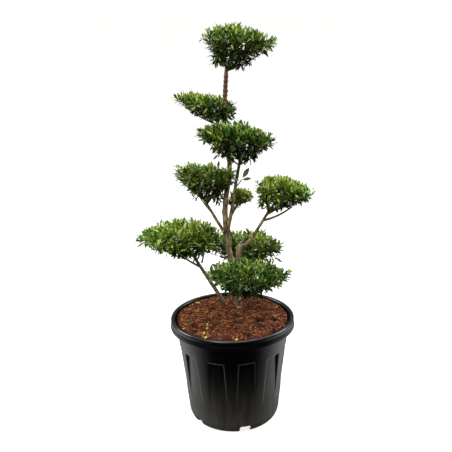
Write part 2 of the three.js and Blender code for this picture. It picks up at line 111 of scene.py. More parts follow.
# Limbs: points on the centreline in millimetres, then radii at the foot and the tip. flare is how far
# the root spreads, and a knuckle has its share of the way up, its width as a share, and its swelling.
LIMBS = {
    "trunk": dict(points=[(20, 38, 303), (14, 43, 362), (-9, 42, 505), (-13, 44, 596), (1, 41, 706),
                          (-8, 43, 850), (-2, 42, 954)], foot=8.9, tip=5, flare=1),
    "bough_low_left": dict(points=[(-22, 76, 303), (-40, 73, 336), (-78, 48, 412), (-98, 30, 456)],
                           foot=6.2, tip=4.1, flare=0.6),
    "bough_low_back": dict(points=[(19, 41, 330), (26, 66, 360), (42, 100, 404)], foot=5, tip=3.2),
    "bough_low_front": dict(points=[(20, 40, 326), (27, 16, 338), (36, -10, 358)], foot=5, tip=3.2),
    "bough_right": dict(points=[(14, 43, 362), (18, 33, 430), (21, 27, 472), (27, 25, 488), (40, 23, 496),
                                (54, 20, 511), (73, 16, 541), (96, 12, 580)],
                        foot=6.8, tip=3.6, knuckle=(0.5, 0.05, 1.8),
                        stub=[(19, 30, 462), (21, 28, 478), (22, 27, 496)], stub_radius=7),
    "bough_mid_left": dict(points=[(-10, 42, 514), (-39, 49, 563), (-61, 54, 602)], foot=4.8, tip=3.2),
    "bough_mid_back": dict(points=[(-12, 43, 552), (2, 62, 566), (16, 80, 584)], foot=3.6, tip=2.6),
    "bough_centre": dict(points=[(-10, 42, 520), (7, 30, 602), (19, 19, 680), (27, 8, 722)],
                         foot=5.6, tip=3.8),
    "bough_upper_left": dict(points=[(-5, 42, 762), (-15, 52, 790), (-26, 60, 818)], foot=4, tip=2.8),
}

# A nick in the bark at the trunk's foot: its middle and its half sizes, in millimetres.
NICK = dict(at=(19, 27, 309), across=7, high=2.6)

# The young leader, in metres: where it starts, and its ring-like nodes.
LEADER_FOOT = 0.838
LEADER_NODE_STEP = 0.0118
LEADER_NODE_HALF = 0.0015

# Foliage pads, in millimetres: a low dome over an oval rim that may tilt, fed by one stem on a limb's tip.
# shoots is their number in the solids, strays are the tips of long ones that escape the clipped outline,
# fresh is how light the leaves are, lush is the share of sprays in a purer green, and a cool pad is bluer.
PADS = {
    "top": dict(
        on="trunk", heart=(30, 42, 1031), reach=(97, 82), dome=42, tilt=-0.14, shoots=21, fresh=0,
        lush=0.25,
        strays=[(29, 40, 1068), (124, 36, 1024), (116, 38, 1034), (108, 38, 1008), (92, 38, 1002)]),
    "upper_left": dict(
        on="bough_upper_left", heart=(-57, 60, 874), reach=(88, 72), dome=25, tilt=-0.18, shoots=16,
        fresh=0.2, lush=0.4, strays=[(-136, 52, 892), (-122, 52, 896)]),
    "centre": dict(
        on="bough_centre", heart=(18, -4, 793), reach=(105, 70), dome=37, tilt=-0.11, shoots=25, fresh=-0.1,
        lush=0.5, strays=[(110, 0, 784), (-74, 0, 806)]),
    "mid_left": dict(
        on="bough_mid_left", heart=(-64, 60, 681), reach=(90, 76), dome=30, tilt=-0.1, shoots=18,
        fresh=-0.1, lush=0.25,
        strays=[(-104, 56, 652), (-34, 48, 618), (-26, 50, 608), (-20, 34, 646), (4, 22, 674),
                (12, 16, 698), (0, 18, 706)]),
    "mid_back": dict(
        on="bough_mid_back", heart=(32, 98, 606), reach=(42, 42), dome=26, tilt=0.1, shoots=6, fresh=0.9,
        lush=0.3, strays=[(56, 92, 618)]),
    "right": dict(
        on="bough_right", heart=(150, 10, 651), reach=(77, 66), dome=32, tilt=-0.24, shoots=16, fresh=0.9,
        lush=0.5, strays=[(216, 6, 634), (220, 6, 643), (206, 4, 626), (78, 10, 670)]),
    "low_left": dict(
        on="bough_low_left", heart=(-141, 25, 519), reach=(121, 97), dome=50, tilt=0.04, shoots=28,
        fresh=0.9, lush=0.75,
        strays=[(-248, 18, 514), (-250, 20, 526), (-30, 30, 530), (-42, 34, 514), (-205, 22, 486),
                (-176, 22, 480), (-150, 24, 470), (-120, 28, 464)]),
    "low_back": dict(
        on="bough_low_back", heart=(43, 126, 458), reach=(114, 82), dome=43, tilt=-0.03, shoots=26,
        fresh=0.1, lush=0.25, strays=[(138, 112, 450), (142, 108, 462), (-56, 112, 452)]),
    "low_front": dict(
        on="bough_low_front", heart=(44, -44, 430), reach=(117, 80), dome=43, tilt=-0.05, shoots=24,
        fresh=0.4, lush=0.5, cool=True,
        strays=[(148, -36, 426), (150, -38, 436), (124, -34, 396), (0, -16, 372), (22, -22, 366),
                (44, -26, 368), (82, -24, 374), (106, -20, 382), (66, -30, 366), (-18, -12, 388),
                (-62, -36, 446), (-46, -30, 412)]),
}

# Single shoots that grow straight from a limb: foot and tip in millimetres, and how many leaves.
SPARE_SHOOTS = {
    "centre": [dict(foot=(-8, 40, 742), tip=(-34, 30, 756), leaves=5)],
    "mid_left": [dict(foot=(-9, 43, 640), tip=(-28, 30, 664), leaves=8)],
    "upper_left": [dict(foot=(-20, 54, 836), tip=(-2, 24, 862), leaves=9),
                   dict(foot=(-16, 52, 826), tip=(8, 26, 846), leaves=8),
                   dict(foot=(-20, 52, 824), tip=(-16, 24, 838), leaves=8)],
    "low_back": [dict(foot=(92, 114, 446), tip=(134, 108, 426), leaves=8),
                 dict(foot=(84, 112, 440), tip=(112, 106, 428), leaves=8)],
}

# One shoot with three large leaves on the middle bough: its twig, then each leaf's root and tip.
LARGE_SHOOT = dict(twig=((15, 24, 656), (33, 16, 680), 2, 1.2),
                   leaves=[((33, 16, 680), (52, 13, 711)), ((31, 16, 678), (58, 11, 684)),
                           ((27, 18, 673), (15, 10, 689))])

# Bare twigs that show below the pads. A twig has its foot and tip, and the radii there, in millimetres.
BARE_TWIGS = {
    "low_left": [((-84, 42, 426), (-128, 26, 460), 3.7, 2.3), ((-82, 44, 438), (-74, 40, 474), 2.8, 1.8),
                 ((-63, 40, 474), (-34, 70, 448), 1.4, 0.9)],
    "right": [((88, 13, 566), (166, 8, 604), 3.8, 2.3)],
    "mid_left": [((-46, 51, 576), (-88, 58, 634), 2.4, 1.4)],
    "centre": [((26, 9, 720), (-56, 0, 792), 2.2, 1.2), ((27, 8, 720), (94, 0, 768), 2.4, 1.3)],
    "top": [((-2, 42, 958), (88, 36, 1000), 2.4, 1.3)],
    "upper_left": [((-26, 60, 818), (-112, 52, 868), 2.3, 1.3)],
}

# The branching rule of the source, carried on to finer twigs.
FORK_SHARE = 0.46
FORK_WANDER = 0.09
FORK_STEP = 4 * MM
LAST_FORK = 4
SIDE_SHOOT_EVERY = 3
SIDE_SHOOT_DROP = (0.05, 0.8)
SIDE_SHOOT_AREA = (0.4, 1)
TIP_SHARE = 0.9
TIP_LEVEL = 0.76
SHOULDER = 3
FUNNEL = 0.7
LEAF_LOOSE = 0.14
TIP_LIFT = 0.6
TIP_WANDER = 0.3
TIP_STRAY = (0.1, 0.9)
TIP_HEIGHTS = (0.55, 1.08)
TIP_REACHES = (0.9, 1.05)
PROUD_SHARE = 0.18
PROUD_REACH = (3 * MM, 8 * MM)
TWIG_TIP_RADIUS = 0.75 * MM
TWIG_GROWTH = 0.34
SHOOT_THICKENS = 50 * MM
SHOOT_FOOT_SHARE = 0.9
SHOOT_TIP_SHARE = 0.5
STEM_LENGTH = 12 * MM
LONG_TWIGS = 9
LONG_TWIG_SHOOT_STEP = 11 * MM
LONG_TWIG_BARE_SHARE = 0.3
CLEARANCE = 0.3 * MM

# The camera, fitted to the pot's ellipses and the stems: place in metres, turns in degrees, and lens.
CAMERA_PLACE = (0, -1.787, 1.097)
CAMERA_PITCH = 16.82
CAMERA_YAW = -0.37
CAMERA_ROLL = -1.38
PHOTO_PIXELS = 452
FOCAL_PIXELS = 700
SENSOR_MM = 36


def linear(hex_colour):
    """An sRGB hex colour as linear red, green and blue."""
    shares = [int(hex_colour[i:i + 2], 16) / 255 for i in (1, 3, 5)]
    return [s / 12.92 if s <= 0.04045 else ((s + 0.055) / 1.055) ** 2.4 for s in shares]


def colour_of(label, words, hex_colour):
    """A colour setting with its sRGB default."""
    return FloatVectorProperty(name=label, description=words, subtype="COLOR", size=3, min=0, max=1,
                               default=linear(hex_colour))


def length_of(label, words, size):
    """A length setting in metres."""
    return FloatProperty(name=label, description=words, default=size, min=0, unit="LENGTH", precision=5)


def number_of(label, words, value, unit="NONE"):
    """A plain number setting."""
    return FloatProperty(name=label, description=words, default=value, min=0, unit=unit)


def count_of(label, words, count, least=0):
    """A whole number setting."""
    return IntProperty(name=label, description=words, default=count, min=least)


class PotSettings(bpy.types.PropertyGroup):
    """Sizes and colours of the moulded pot."""

    bead_radius: length_of("Bead radius", "Radius of the rolled bead on the rim", 0.006)
    panel_count: count_of("Panels", "Sunk panels round the pot", 11, least=3)
    panel_width: length_of("Panel width", "Width of a sunk panel at its top", 0.044)
    panel_foot_width: length_of("Panel foot width", "Width of a sunk panel where it fades out", 0.052)
    panel_depth: length_of("Panel depth", "How far a panel is sunk under its top edge", 0.007)
    body: colour_of("Plastic", "Black plastic of the pot", "#030303")
    dust: colour_of("Dust", "Grey dust that thickens towards the foot", "#504e47")
    # This edge colour is a painted highlight on the rib edges.
    edge: colour_of("Polished edge", "Rib edges polished by handling", "#242321")
    # This edge colour is partly scuffs and partly a painted highlight on the panels' top edges.
    scuff_and_highlight: colour_of("Scuffed edge", "Edges rubbed grey", "#83827a")


class SoilSettings(bpy.types.PropertyGroup):
    """Sizes, counts and colours of the coir soil."""

    flakes: count_of("Flakes", "Loose flakes of husk on the soil", 4800)
    fibres: count_of("Fibres", "Loose coir fibres on the soil", 1500)
    flake_length: length_of("Flake length", "Mean length of a flake", 0.0064)
    fibre_length: length_of("Fibre length", "Mean length of a fibre", 0.015)
    # The hollow colour is painted shade in the hollows and in the bed's dark patches.
    hollow_shade: colour_of("Hollow", "Wet coir in the settled hollows", "#0d0705")
    dark: colour_of("Damp coir", "Dark coir between the flakes", "#170803")
    mid: colour_of("Coir", "Red-brown coir", "#5e2c12")
    light: colour_of("Dry coir", "Dry coir", "#ab6636")
    pale: colour_of("Bleached coir", "The palest, driest coir", "#c0905c")
    bit: colour_of("Fallen leaf", "Yellow-green clippings", "#b7b445")


class BarkSettings(bpy.types.PropertyGroup):
    """Relief and colours of the bark."""

    relief: length_of("Relief", "Height of the bark's ridges on a stem 20 mm thick", 0.0009)
    ring_step: length_of("Ring step", "Distance between the rings of the bark mesh", 0.003)
    light: colour_of("Bark", "Grey-tan bark", "#b99f76")
    dark: colour_of("Furrow", "Dark bark in the furrows", "#302716")
    bloom: colour_of("Lichen bloom", "Grey bloom on old bark", "#9a8f6e")
    # Paler bark low on the stems: painted light against the shade of the pads.
    low_painted_light: colour_of("Oldest bark", "Paler bark low on the stems", "#d2bb92")
    leader: colour_of("Leader bark", "Red-brown bark of the young leader", "#6f4f39")
    scar: colour_of("Node", "Dark rings at the leader's nodes", "#3a281b")
    # Dark bark at the foot: partly splashed soil, partly painted shade of the low pad.
    stain_and_shade: colour_of("Soil stain", "Bark darkened by splashed soil", "#2a190e")
    cut: colour_of("Cut wood", "Pale wood where the bark is nicked", "#c4ab83")
    twig: colour_of("Twig", "Brown twigs", "#64523a")
    shoot: colour_of("Young shoot", "Green-brown young shoots", "#5d5a2c")


class LeafSettings(bpy.types.PropertyGroup):
    """Sizes, counts and colours of the leaves."""

    length: length_of("Leaf length", "Mean length of a grown leaf", 0.0215)
    width_share: number_of("Leaf width", "Width as a share of the length", 0.3)
    spacing: length_of("Leaf spacing", "Distance between leaves along a shoot", 0.0034)
    per_shoot: count_of("Leaves on a shoot", "Most leaves on one shoot", 9, least=1)
    shoot_multiple: number_of("Shoots", "Shoots for each one in the solids", 7.6)
    # The greens are dealt by height in a pad: the darker ones are painted shade low in it, the lighter ones
    # painted light at its top.
    shade: colour_of("Inner leaf", "Old leaves in the shade", "#1d2607")
    deep: colour_of("Deep green", "Grown leaves low in a pad", "#2f3f0d")
    mid: colour_of("Mid green", "Grown leaves", "#4a5f15")
    fresh: colour_of("Fresh green", "Leaves of the last flush", "#6b7f20")
    tip: colour_of("Tip green", "Yellow-green leaves at the tips", "#90a33a")
    cool: colour_of("Cool green", "Grown leaves of the lowest pad and of lush sprays", "#3f631f")
    lush: colour_of("Lush green", "Young leaves of lush sprays", "#528620")


class StageSettings(bpy.types.PropertyGroup):
    """The floor and the lights."""

    floor: colour_of("Floor", "Pale floor", "#f6f5f3")
    room: colour_of("Room", "Dark room before and behind the set, below the lights", "#141312")
    backdrop: colour_of("Backdrop", "Grey walls at the sides of the set", "#a8a5a0")
    table: number_of("Table light", "White table at the sides of the pot", 1.7)
    sky: number_of("Room light", "Strength of the even light", 0.66)
    key: number_of("Key light", "Softbox over the front left", 60, "POWER")
    overhead: number_of("Top light", "Softbox overhead", 95, "POWER")
    side: number_of("Side lights", "Tall softboxes at the sides", 38, "POWER")
    glow: number_of("Floor glow", "How far the floor is lit up from below", 0.92)


# Materials.

# Sizes of the patterns, and the heights between which a look sets in. The moulded grain and the floor's
# mottle are drawn coarser than life, because they are too fine to show.
DUST_HEIGHT = 0.23
DUST_STREAK = 14 * MM
DUST_STRETCH = 0.12
DUST_DULLS = 0.6
MOULD_GRAIN = 1.6 * MM
BED_GRAIN = 6 * MM
CHIP_GRAIN = 3 * MM
FURROW = 7 * MM
BLOOM_PATCH = 28 * MM
WRINKLE = 3 * MM
FLOOR_MOTTLE = 50 * MM
# Heights where the painted light on the low stems fades out upwards, where the red-brown leader sets in,
# and below which soil stain and painted shade darken the foot.
LOW_PAINTED_LIGHT = (0.53, 0.45)
YOUNG_WOOD = (0.72, 0.88)
STAIN_AND_SHADE_TOP = 0.35

# How far furrows are drawn out along a stem, and wrinkles across it.
FURROW_STRETCH = 0.3
WRINKLE_STRETCH = 0.4

# How much of the light that falls on it the floor throws back, at the ends of its mottle.
FLOOR_RETURNS = (0.4, 0.38)


def feed(tree, socket, value):
    """Gives a socket a plain value, or links it to a node's first output or to the output that is named."""
    if isinstance(value, bpy.types.Node):
        value = (value, 0)
    if isinstance(value, tuple) and isinstance(value[0], bpy.types.Node):
        source, output = value
        tree.links.new(source.outputs[output], socket)
    else:
        socket.default_value = value


def add_node(tree, kind, inputs=None, **options):
    """Adds a shader node. Each input is a plain value, a node, or a node with the name of its output."""
    node = tree.nodes.new("ShaderNode" + kind)
    for option, value in options.items():
        setattr(node, option, value)
    for socket, value in (inputs or {}).items():
        feed(tree, node.inputs[socket], value)
    return node


def new_material(name, **sockets):
    """A material with these values on its principled shader, and its node tree."""
    material = bpy.data.materials.new(name)
    material.use_nodes = True
    tree = material.node_tree
    for socket, value in sockets.items():
        tree.nodes["Principled BSDF"].inputs[socket.replace("_", " ")].default_value = value
    return material, tree


def finish_shader(tree, **sources):
    """Links nodes to the sockets of a material's principled shader."""
    for socket, source in sources.items():
        feed(tree, tree.nodes["Principled BSDF"].inputs[socket.replace("_", " ")], source)


def rgba(colour):
    """A colour with full opacity."""
    return (*colour, 1)


def per_metre(size):
    """A texture scale whose features are about this size."""
    return 1 / size


def black_polypropylene(name, colour, dust, roughness):
    """Injection-moulded black polypropylene: near black, with a satin skin, a fine moulded grain,
    and grey dust in streaks that thins out up the wall and dulls the reflections."""
    material, tree = new_material(name, Roughness=roughness, IOR=1.49)
    place = add_node(tree, "TexCoord")
    axes = add_node(tree, "SeparateXYZ", {"Vector": (place, "Object")})
    streaks = add_node(tree, "Mapping", {"Vector": (place, "Object"), "Scale": (1, 1, DUST_STRETCH)})
    flow = add_node(tree, "TexNoise", {"Vector": streaks, "Scale": per_metre(DUST_STREAK), "Detail": 5,
                                       "Roughness": 0.6})
    streaky = add_node(tree, "MapRange", {"Value": flow, "From Min": 0.3, "From Max": 0.7,
                                          "To Min": 0.6, "To Max": 1.3})
    low = add_node(tree, "MapRange", {"Value": (axes, "Z"), "From Min": DUST_HEIGHT, "From Max": 0})
    settled = add_node(tree, "Math", {0: low, 1: 2}, operation="POWER")
    share = add_node(tree, "Math", {0: settled, 1: streaky}, operation="MULTIPLY", use_clamp=True)
    mixed = add_node(tree, "MixRGB", {"Fac": share, "Color1": rgba(colour), "Color2": rgba(dust)})
    skin = add_node(tree, "MapRange", {"Value": flow, "To Min": roughness - 0.06,
                                       "To Max": roughness + 0.16})
    dulled = add_node(tree, "Math", {0: share, 1: DUST_DULLS, 2: skin}, operation="MULTIPLY_ADD")
    grain = add_node(tree, "TexNoise", {"Vector": (place, "Object"), "Scale": per_metre(MOULD_GRAIN)})
    bump = add_node(tree, "Bump", {"Height": grain, "Strength": 0.12, "Distance": 0.4 * MM})
    finish_shader(tree, Base_Color=mixed, Roughness=dulled, Normal=bump)
    return material


def loose_coir(name, colour):
    """One loose flake or fibre of coir: a plain dry tone with no shine, so only its facets shade it."""
    return new_material(name, Base_Color=rgba(colour), Roughness=0.95, IOR=1.45)[0]


def coir(name, dark, light, grain):
    """Shredded coconut coir: dry and dull, mixed in patches by noise between a darker and a lighter colour.
    On the bed the darker colour is the painted shade of the hollows.
    """
    material, tree = new_material(name, Roughness=0.95, IOR=1.45, Specular_IOR_Level=0.2)
    place = add_node(tree, "TexCoord")
    lumps = add_node(tree, "TexNoise", {"Vector": (place, "Object"), "Scale": per_metre(grain), "Detail": 7,
                                        "Roughness": 0.7})
    share = add_node(tree, "MapRange", {"Value": lumps, "From Min": 0.36, "From Max": 0.64})
    mixed = add_node(tree, "MixRGB", {"Fac": share, "Color1": rgba(dark), "Color2": rgba(light)})
    bump = add_node(tree, "Bump", {"Height": lumps, "Strength": 0.6, "Distance": 1 * MM})
    finish_shader(tree, Base_Color=mixed, Normal=bump)
    return material


def holly_bark(settings):
    """Thin holly bark, grown and weathered: grey-tan, dull, with darker furrows along the stem, pale bloom
    in patches and fine wrinkles across it. It is paler low on the stems, as painted light against the shade
    of the pads, turns red-brown up the young leader, and is dark at the foot, partly from splashed soil and
    partly as painted shade."""
    material, tree = new_material("weathered_holly_bark", Roughness=0.82, IOR=1.45, Specular_IOR_Level=0.3)
    place = add_node(tree, "TexCoord")
    axes = add_node(tree, "SeparateXYZ", {"Vector": (place, "Object")})
    along = add_node(tree, "Mapping", {"Vector": (place, "Object"), "Scale": (1, 1, FURROW_STRETCH)})
    furrows = add_node(tree, "TexNoise", {"Vector": along, "Scale": per_metre(FURROW), "Detail": 6,
                                          "Roughness": 0.65})
    furrow = add_node(tree, "MapRange", {"Value": furrows, "From Min": 0.42, "From Max": 0.66})
    patches = add_node(tree, "TexNoise", {"Vector": (place, "Object"), "Scale": per_metre(BLOOM_PATCH),
                                          "Detail": 3})
    bloom = add_node(tree, "MapRange", {"Value": patches, "From Min": 0.5, "From Max": 0.72,
                                        "To Max": 0.45})
    # Paler low on the stems: painted light against the shade of the pads.
    old = add_node(tree, "MapRange", {"Value": (axes, "Z"), "From Min": LOW_PAINTED_LIGHT[0],
                                      "From Max": LOW_PAINTED_LIGHT[1], "To Max": 0.3})
    young = add_node(tree, "MapRange", {"Value": (axes, "Z"), "From Min": YOUNG_WOOD[0],
                                        "From Max": YOUNG_WOOD[1], "To Max": 0.75})
    # Dark at the foot: partly soil stain, partly painted shade of the low pad.
    splashed = add_node(tree, "MapRange", {"Value": (axes, "Z"), "From Min": STAIN_AND_SHADE_TOP, "From Max": GROUND,
                                           "To Max": 0.8})
    skin = add_node(tree, "MixRGB", {"Fac": furrow, "Color1": rgba(settings.dark),
                                     "Color2": rgba(settings.light)})
    layers = [(bloom, settings.bloom), (old, settings.low_painted_light), (young, settings.leader),
              (splashed, settings.stain_and_shade)]
    for share, colour in layers:
        skin = add_node(tree, "MixRGB", {"Fac": share, "Color1": skin, "Color2": rgba(colour)})
    drawn_out = (WRINKLE_STRETCH, WRINKLE_STRETCH, 1)
    across = add_node(tree, "Mapping", {"Vector": (place, "Object"), "Scale": drawn_out})
    wrinkles = add_node(tree, "TexNoise", {"Vector": across, "Scale": per_metre(WRINKLE), "Detail": 3})
    bump = add_node(tree, "Bump", {"Height": wrinkles, "Strength": 0.5, "Distance": 0.7 * MM})
    finish_shader(tree, Base_Color=skin, Normal=bump)
    return material


def young_bark(name, colour):
    """Smooth young bark on twigs: one plain tone for each age of wood, with a faint waxy sheen."""
    return new_material(name, Base_Color=rgba(colour), Roughness=0.62, IOR=1.45)[0]


def holly_leaf(name, colour):
    """A small evergreen leaf with a waxed skin: a plain green dealt out by spray, with a clear gloss over
    it that catches the softboxes."""
    return new_material(name, Base_Color=rgba(colour), Roughness=0.38, IOR=1.42, Coat_Weight=0.12,
                        Coat_Roughness=0.2)[0]


def pale_floor(colour, glow):
    """Opal acrylic sheet lit evenly from below: it glows white, throws back little light of its own, and
    has the faintest mottle of a rolled coat."""
    material, tree = new_material("lit_opal_acrylic", Roughness=0.9, IOR=1.45, Specular_IOR_Level=0.1,
                                  Emission_Color=rgba(colour), Emission_Strength=glow)
    place = add_node(tree, "TexCoord")
    mottle = add_node(tree, "TexNoise", {"Vector": (place, "Object"), "Scale": per_metre(FLOOR_MOTTLE)})
    bright, dim = (rgba([share * c for c in colour]) for share in FLOOR_RETURNS)
    mixed = add_node(tree, "MixRGB", {"Fac": mottle, "Color1": bright, "Color2": dim})
    finish_shader(tree, Base_Color=mixed)
    return material


# Meshes.

# No limb or twig heads this way, so a tube's first ring can be turned from it.
FIRST_SIDE = (0.31, 0.87, 0.38)
CURVE_SAMPLES = 40


class Gathered:
    """The points and faces of many small shapes, joined into one mesh."""

    def __init__(self):
        self.points = []
        self.faces = []
        self.tints = []
        self.count = 0

    def add(self, points, faces, tint=0):
        """Adds one shape, all in one tint."""
        self.points.append(np.asarray(points, float))
        self.faces.extend([[corner + self.count for corner in face] for face in faces])
        self.tints.extend([tint] * len(faces))
        self.count += len(points)


def linked(name, data):
    """A new object in the scene that shows a mesh, a lamp or a lens."""
    made = bpy.data.objects.new(name, data)
    bpy.context.scene.collection.objects.link(made)
    return made


def mesh_object(name, points, faces, materials=()):
    """A new object in the scene with a mesh of its own."""
    mesh = bpy.data.meshes.new(name)
    mesh.from_pydata(np.asarray(points, float).tolist(), [], faces)
    for material in materials:
        mesh.materials.append(material)
    return linked(name, mesh)


def piece(name, points, faces, materials, nodes, tints=None, smooth=True):
    """A mesh that rides on the plant's one body and stands for some of its solids."""
    made = mesh_object(name, points, faces, materials)
    mesh = made.data
    if tints is not None:
        mesh.polygons.foreach_set("material_index", tints)
    mesh.polygons.foreach_set("use_smooth", [smooth] * len(mesh.polygons))
    mesh.update()
    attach(made, "root")
    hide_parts(*nodes)
    return made


def gathered_piece(name, gathered, materials, nodes, smooth=True):
    """A piece made of many small shapes."""
    points = np.vstack(gathered.points)
    piece(name, points, gathered.faces, materials, nodes, gathered.tints, smooth)


def even_turns(sides):
    """Angles of even steps round a circle."""
    return np.arange(sides) * math.tau / sides


def unit(vectors):
    """Vectors of length one, in the same directions."""
    return vectors / np.linalg.norm(vectors, axis=-1, keepdims=True)


def closed_rings(rings, sides):
    """Faces of a closed form whose points are rings, one after another, with the end rings capped."""
    faces = []
    for low in range(0, (rings - 1) * sides, sides):
        for k in range(sides):
            after = (k + 1) % sides
            faces.append([low + k, low + after, low + sides + after, low + sides + k])
    last = (rings - 1) * sides
    return [*faces, list(range(sides))[::-1], list(range(last, last + sides))]


def disc_faces(rings, sides):
    """Faces of a round sheet whose points are its middle and then rings, from the inmost outwards."""
    faces = [[0, 1 + k, 1 + (k + 1) % sides] for k in range(sides)]
    for ring in range(rings - 1):
        low = 1 + ring * sides
        for k in range(sides):
            after = (k + 1) % sides
            faces.append([low + k, low + sides + k, low + sides + after, low + after])
    return faces


def tube(path, radii, sides):
    """Points and faces of a closed tube along a path, with a radius for each ring or each of its sides."""
    path = np.asarray(path, float)
    radii = np.asarray(radii, float)
    if radii.ndim == 1:
        radii = np.repeat(radii[:, None], sides, axis=1)
    heading = unit(np.gradient(path, axis=0))
    turns = even_turns(sides)
    normal = np.cross(heading[0], FIRST_SIDE)
    rings = []
    for spot, ahead, reach in zip(path, heading, radii):
        normal = unit(normal - ahead * normal.dot(ahead))
        side = np.cross(ahead, normal)
        way = np.outer(np.cos(turns), normal) + np.outer(np.sin(turns), side)
        rings.append(spot + way * reach[:, None])
    return np.vstack(rings), closed_rings(len(path), sides)


def along_curve(points, step):
    """Even steps of about this length along a centripetal Catmull-Rom curve."""
    spots = np.asarray(points, float)
    spots = np.vstack([2 * spots[0] - spots[1], spots, 2 * spots[-1] - spots[-2]])
    dense = []
    for a, b, c, d in zip(spots, spots[1:], spots[2:], spots[3:]):
        t1 = math.sqrt(np.linalg.norm(b - a))
        t2 = t1 + math.sqrt(np.linalg.norm(c - b))
        t3 = t2 + math.sqrt(np.linalg.norm(d - c))
        t = np.linspace(t1, t2, CURVE_SAMPLES, endpoint=False)[:, None]
        a1 = ((t1 - t) * a + t * b) / t1
        a2 = ((t2 - t) * b + (t - t1) * c) / (t2 - t1)
        a3 = ((t3 - t) * c + (t - t2) * d) / (t3 - t2)
        b1 = ((t2 - t) * a1 + t * a2) / t2
        b2 = ((t3 - t) * a2 + (t - t1) * a3) / (t3 - t1)
        dense.append(((t2 - t) * b1 + (t - t1) * b2) / (t2 - t1))
    dense = np.vstack([*dense, spots[-2:-1]])
    run = np.concatenate([[0], np.cumsum(np.linalg.norm(np.diff(dense, axis=0), axis=1))])
    stops = np.linspace(0, run[-1], max(3, round(run[-1] / step)) + 1)
    return np.column_stack([np.interp(stops, run, dense[:, k]) for k in range(3)])


# The pot.

# Small sizes of its section: how far its middle is capped, the breaks of its feet, and how the skirt
# curves in from its hem, as pairs of the way in and the way up.
CAP_RADIUS = 4 * MM
FOOT_BREAK = 1 * MM
FOOT_SLOPE = 2 * MM
RING_BREAK = 0.6 * MM
GROOVE_BREAK = 1 * MM
SKIRT_CURVE = [(0.6 * MM, 7 * MM), (2.2 * MM, 12.5 * MM)]
RIM_ARC = (-42, 205)
INNER_LIP = (0.1565, 0.288)
INNER_WAIST_RADIUS = 0.139

# Rows of the mesh: the first one above the corner, their step, and how many the panels and collar have.
LOW_WALL_START = 0.042
ROW_STEP = 6 * MM
PANEL_ROWS = 26
PANEL_ROWS_END = 3 * MM
COLLAR_ROWS = 8

# How a panel's edge rounds over: millimetres from the edge into the rib, and share of the depth there.
EDGE_ROUND = [(-2.6, 1.0), (-1.5, 0.97), (-0.9, 0.82), (-0.4, 0.5), (0.1, 0.24), (0.7, 0.1), (1.5, 0.03),
              (2.6, 0.0)]

# Marked edges, by the share of the panel depth up the wall and round it: on top of a panel rubbed grey,
# partly scuffs and partly a painted highlight, and on a rib a lighter strip that is a painted highlight.
RUBBED_LIT_UP = (0.005, 0.5)
RUBBED_LIT_ROUND = 0.3
RIB_HIGHLIGHT_UP = 0.9
RIB_HIGHLIGHT_ROUND = (0.01, 0.6)

# The pot's plastic: plain; rubbed, partly a painted highlight; a painted rib highlight; each with its
# colour setting and roughness.
PLASTICS = [("moulded", "body", 0.25), ("rubbed", "scuff_and_highlight", 0.45), ("polished", "edge", 0.16)]
PLAIN, RUBBED_AND_LIT, RIB_HIGHLIGHT = range(len(PLASTICS))

# A notch's cutter reaches below the foot and out past the wall.
CUTTER_FOOT = -0.01
CUTTER_RADIUS = 0.15


def body_radius(z):
    """The radius of the pot's tapered wall at a height."""
    return BODY_RADIUS_AT_GROUND + BODY_DRAFT * z


def arc(centre_radius, centre_height, radius, start, end, steps, rise=None):
    """Radius and height pairs on an arc, with angles in degrees, and oval when it has a rise of its own."""
    rise = rise or radius
    turns = np.radians(np.linspace(start, end, steps + 1))
    return [(centre_radius + radius * math.cos(t), centre_height + rise * math.sin(t)) for t in turns]


def panel_width_at(settings, z):
    """A panel's width at a height: it widens downwards, so the ribs narrow."""
    share = (z - PANEL_FADE) / (PANEL_TOP - PANEL_FADE)
    return settings.panel_foot_width + (settings.panel_width - settings.panel_foot_width) * share


def panel_stations(width):
    """Half a panel and half a rib: offsets from the panel's edge, as (kind, value, share of the depth)."""
    half = width / 2
    floor = [("floor", share * (half + EDGE_ROUND[0][0] * MM), 1.0) for share in (0, 0.25, 0.5, 0.75)]
    edge = [("edge", half + offset * MM, share) for offset, share in EDGE_ROUND]
    rib = [("rib", share, 0.0) for share in (0.25, 0.5, 0.75, 1)]
    return floor + edge + rib


def pot_columns(settings, z):
    """Angles round the pot at a height, with the share of the panel depth at each."""
    height = min(max(z, PANEL_FADE), PANEL_TOP)
    radius = body_radius(height)
    width = panel_width_at(settings, height)
    sector = math.pi / settings.panel_count
    rib_start = math.asin((width / 2 + EDGE_ROUND[-1][0] * MM) / radius)
    half = []
    for kind, value, share in panel_stations(width):
        turn = rib_start + (sector - rib_start) * value if kind == "rib" else math.asin(value / radius)
        half.append((turn, share))
    left = [(-turn, share) for turn, share in half[1:-1]][::-1]
    columns = []
    for number in range(settings.panel_count):
        middle = math.radians(FIRST_PANEL_BEARING) + number * 2 * sector
        columns.extend([(middle + turn, share) for turn, share in left + half])
    return columns


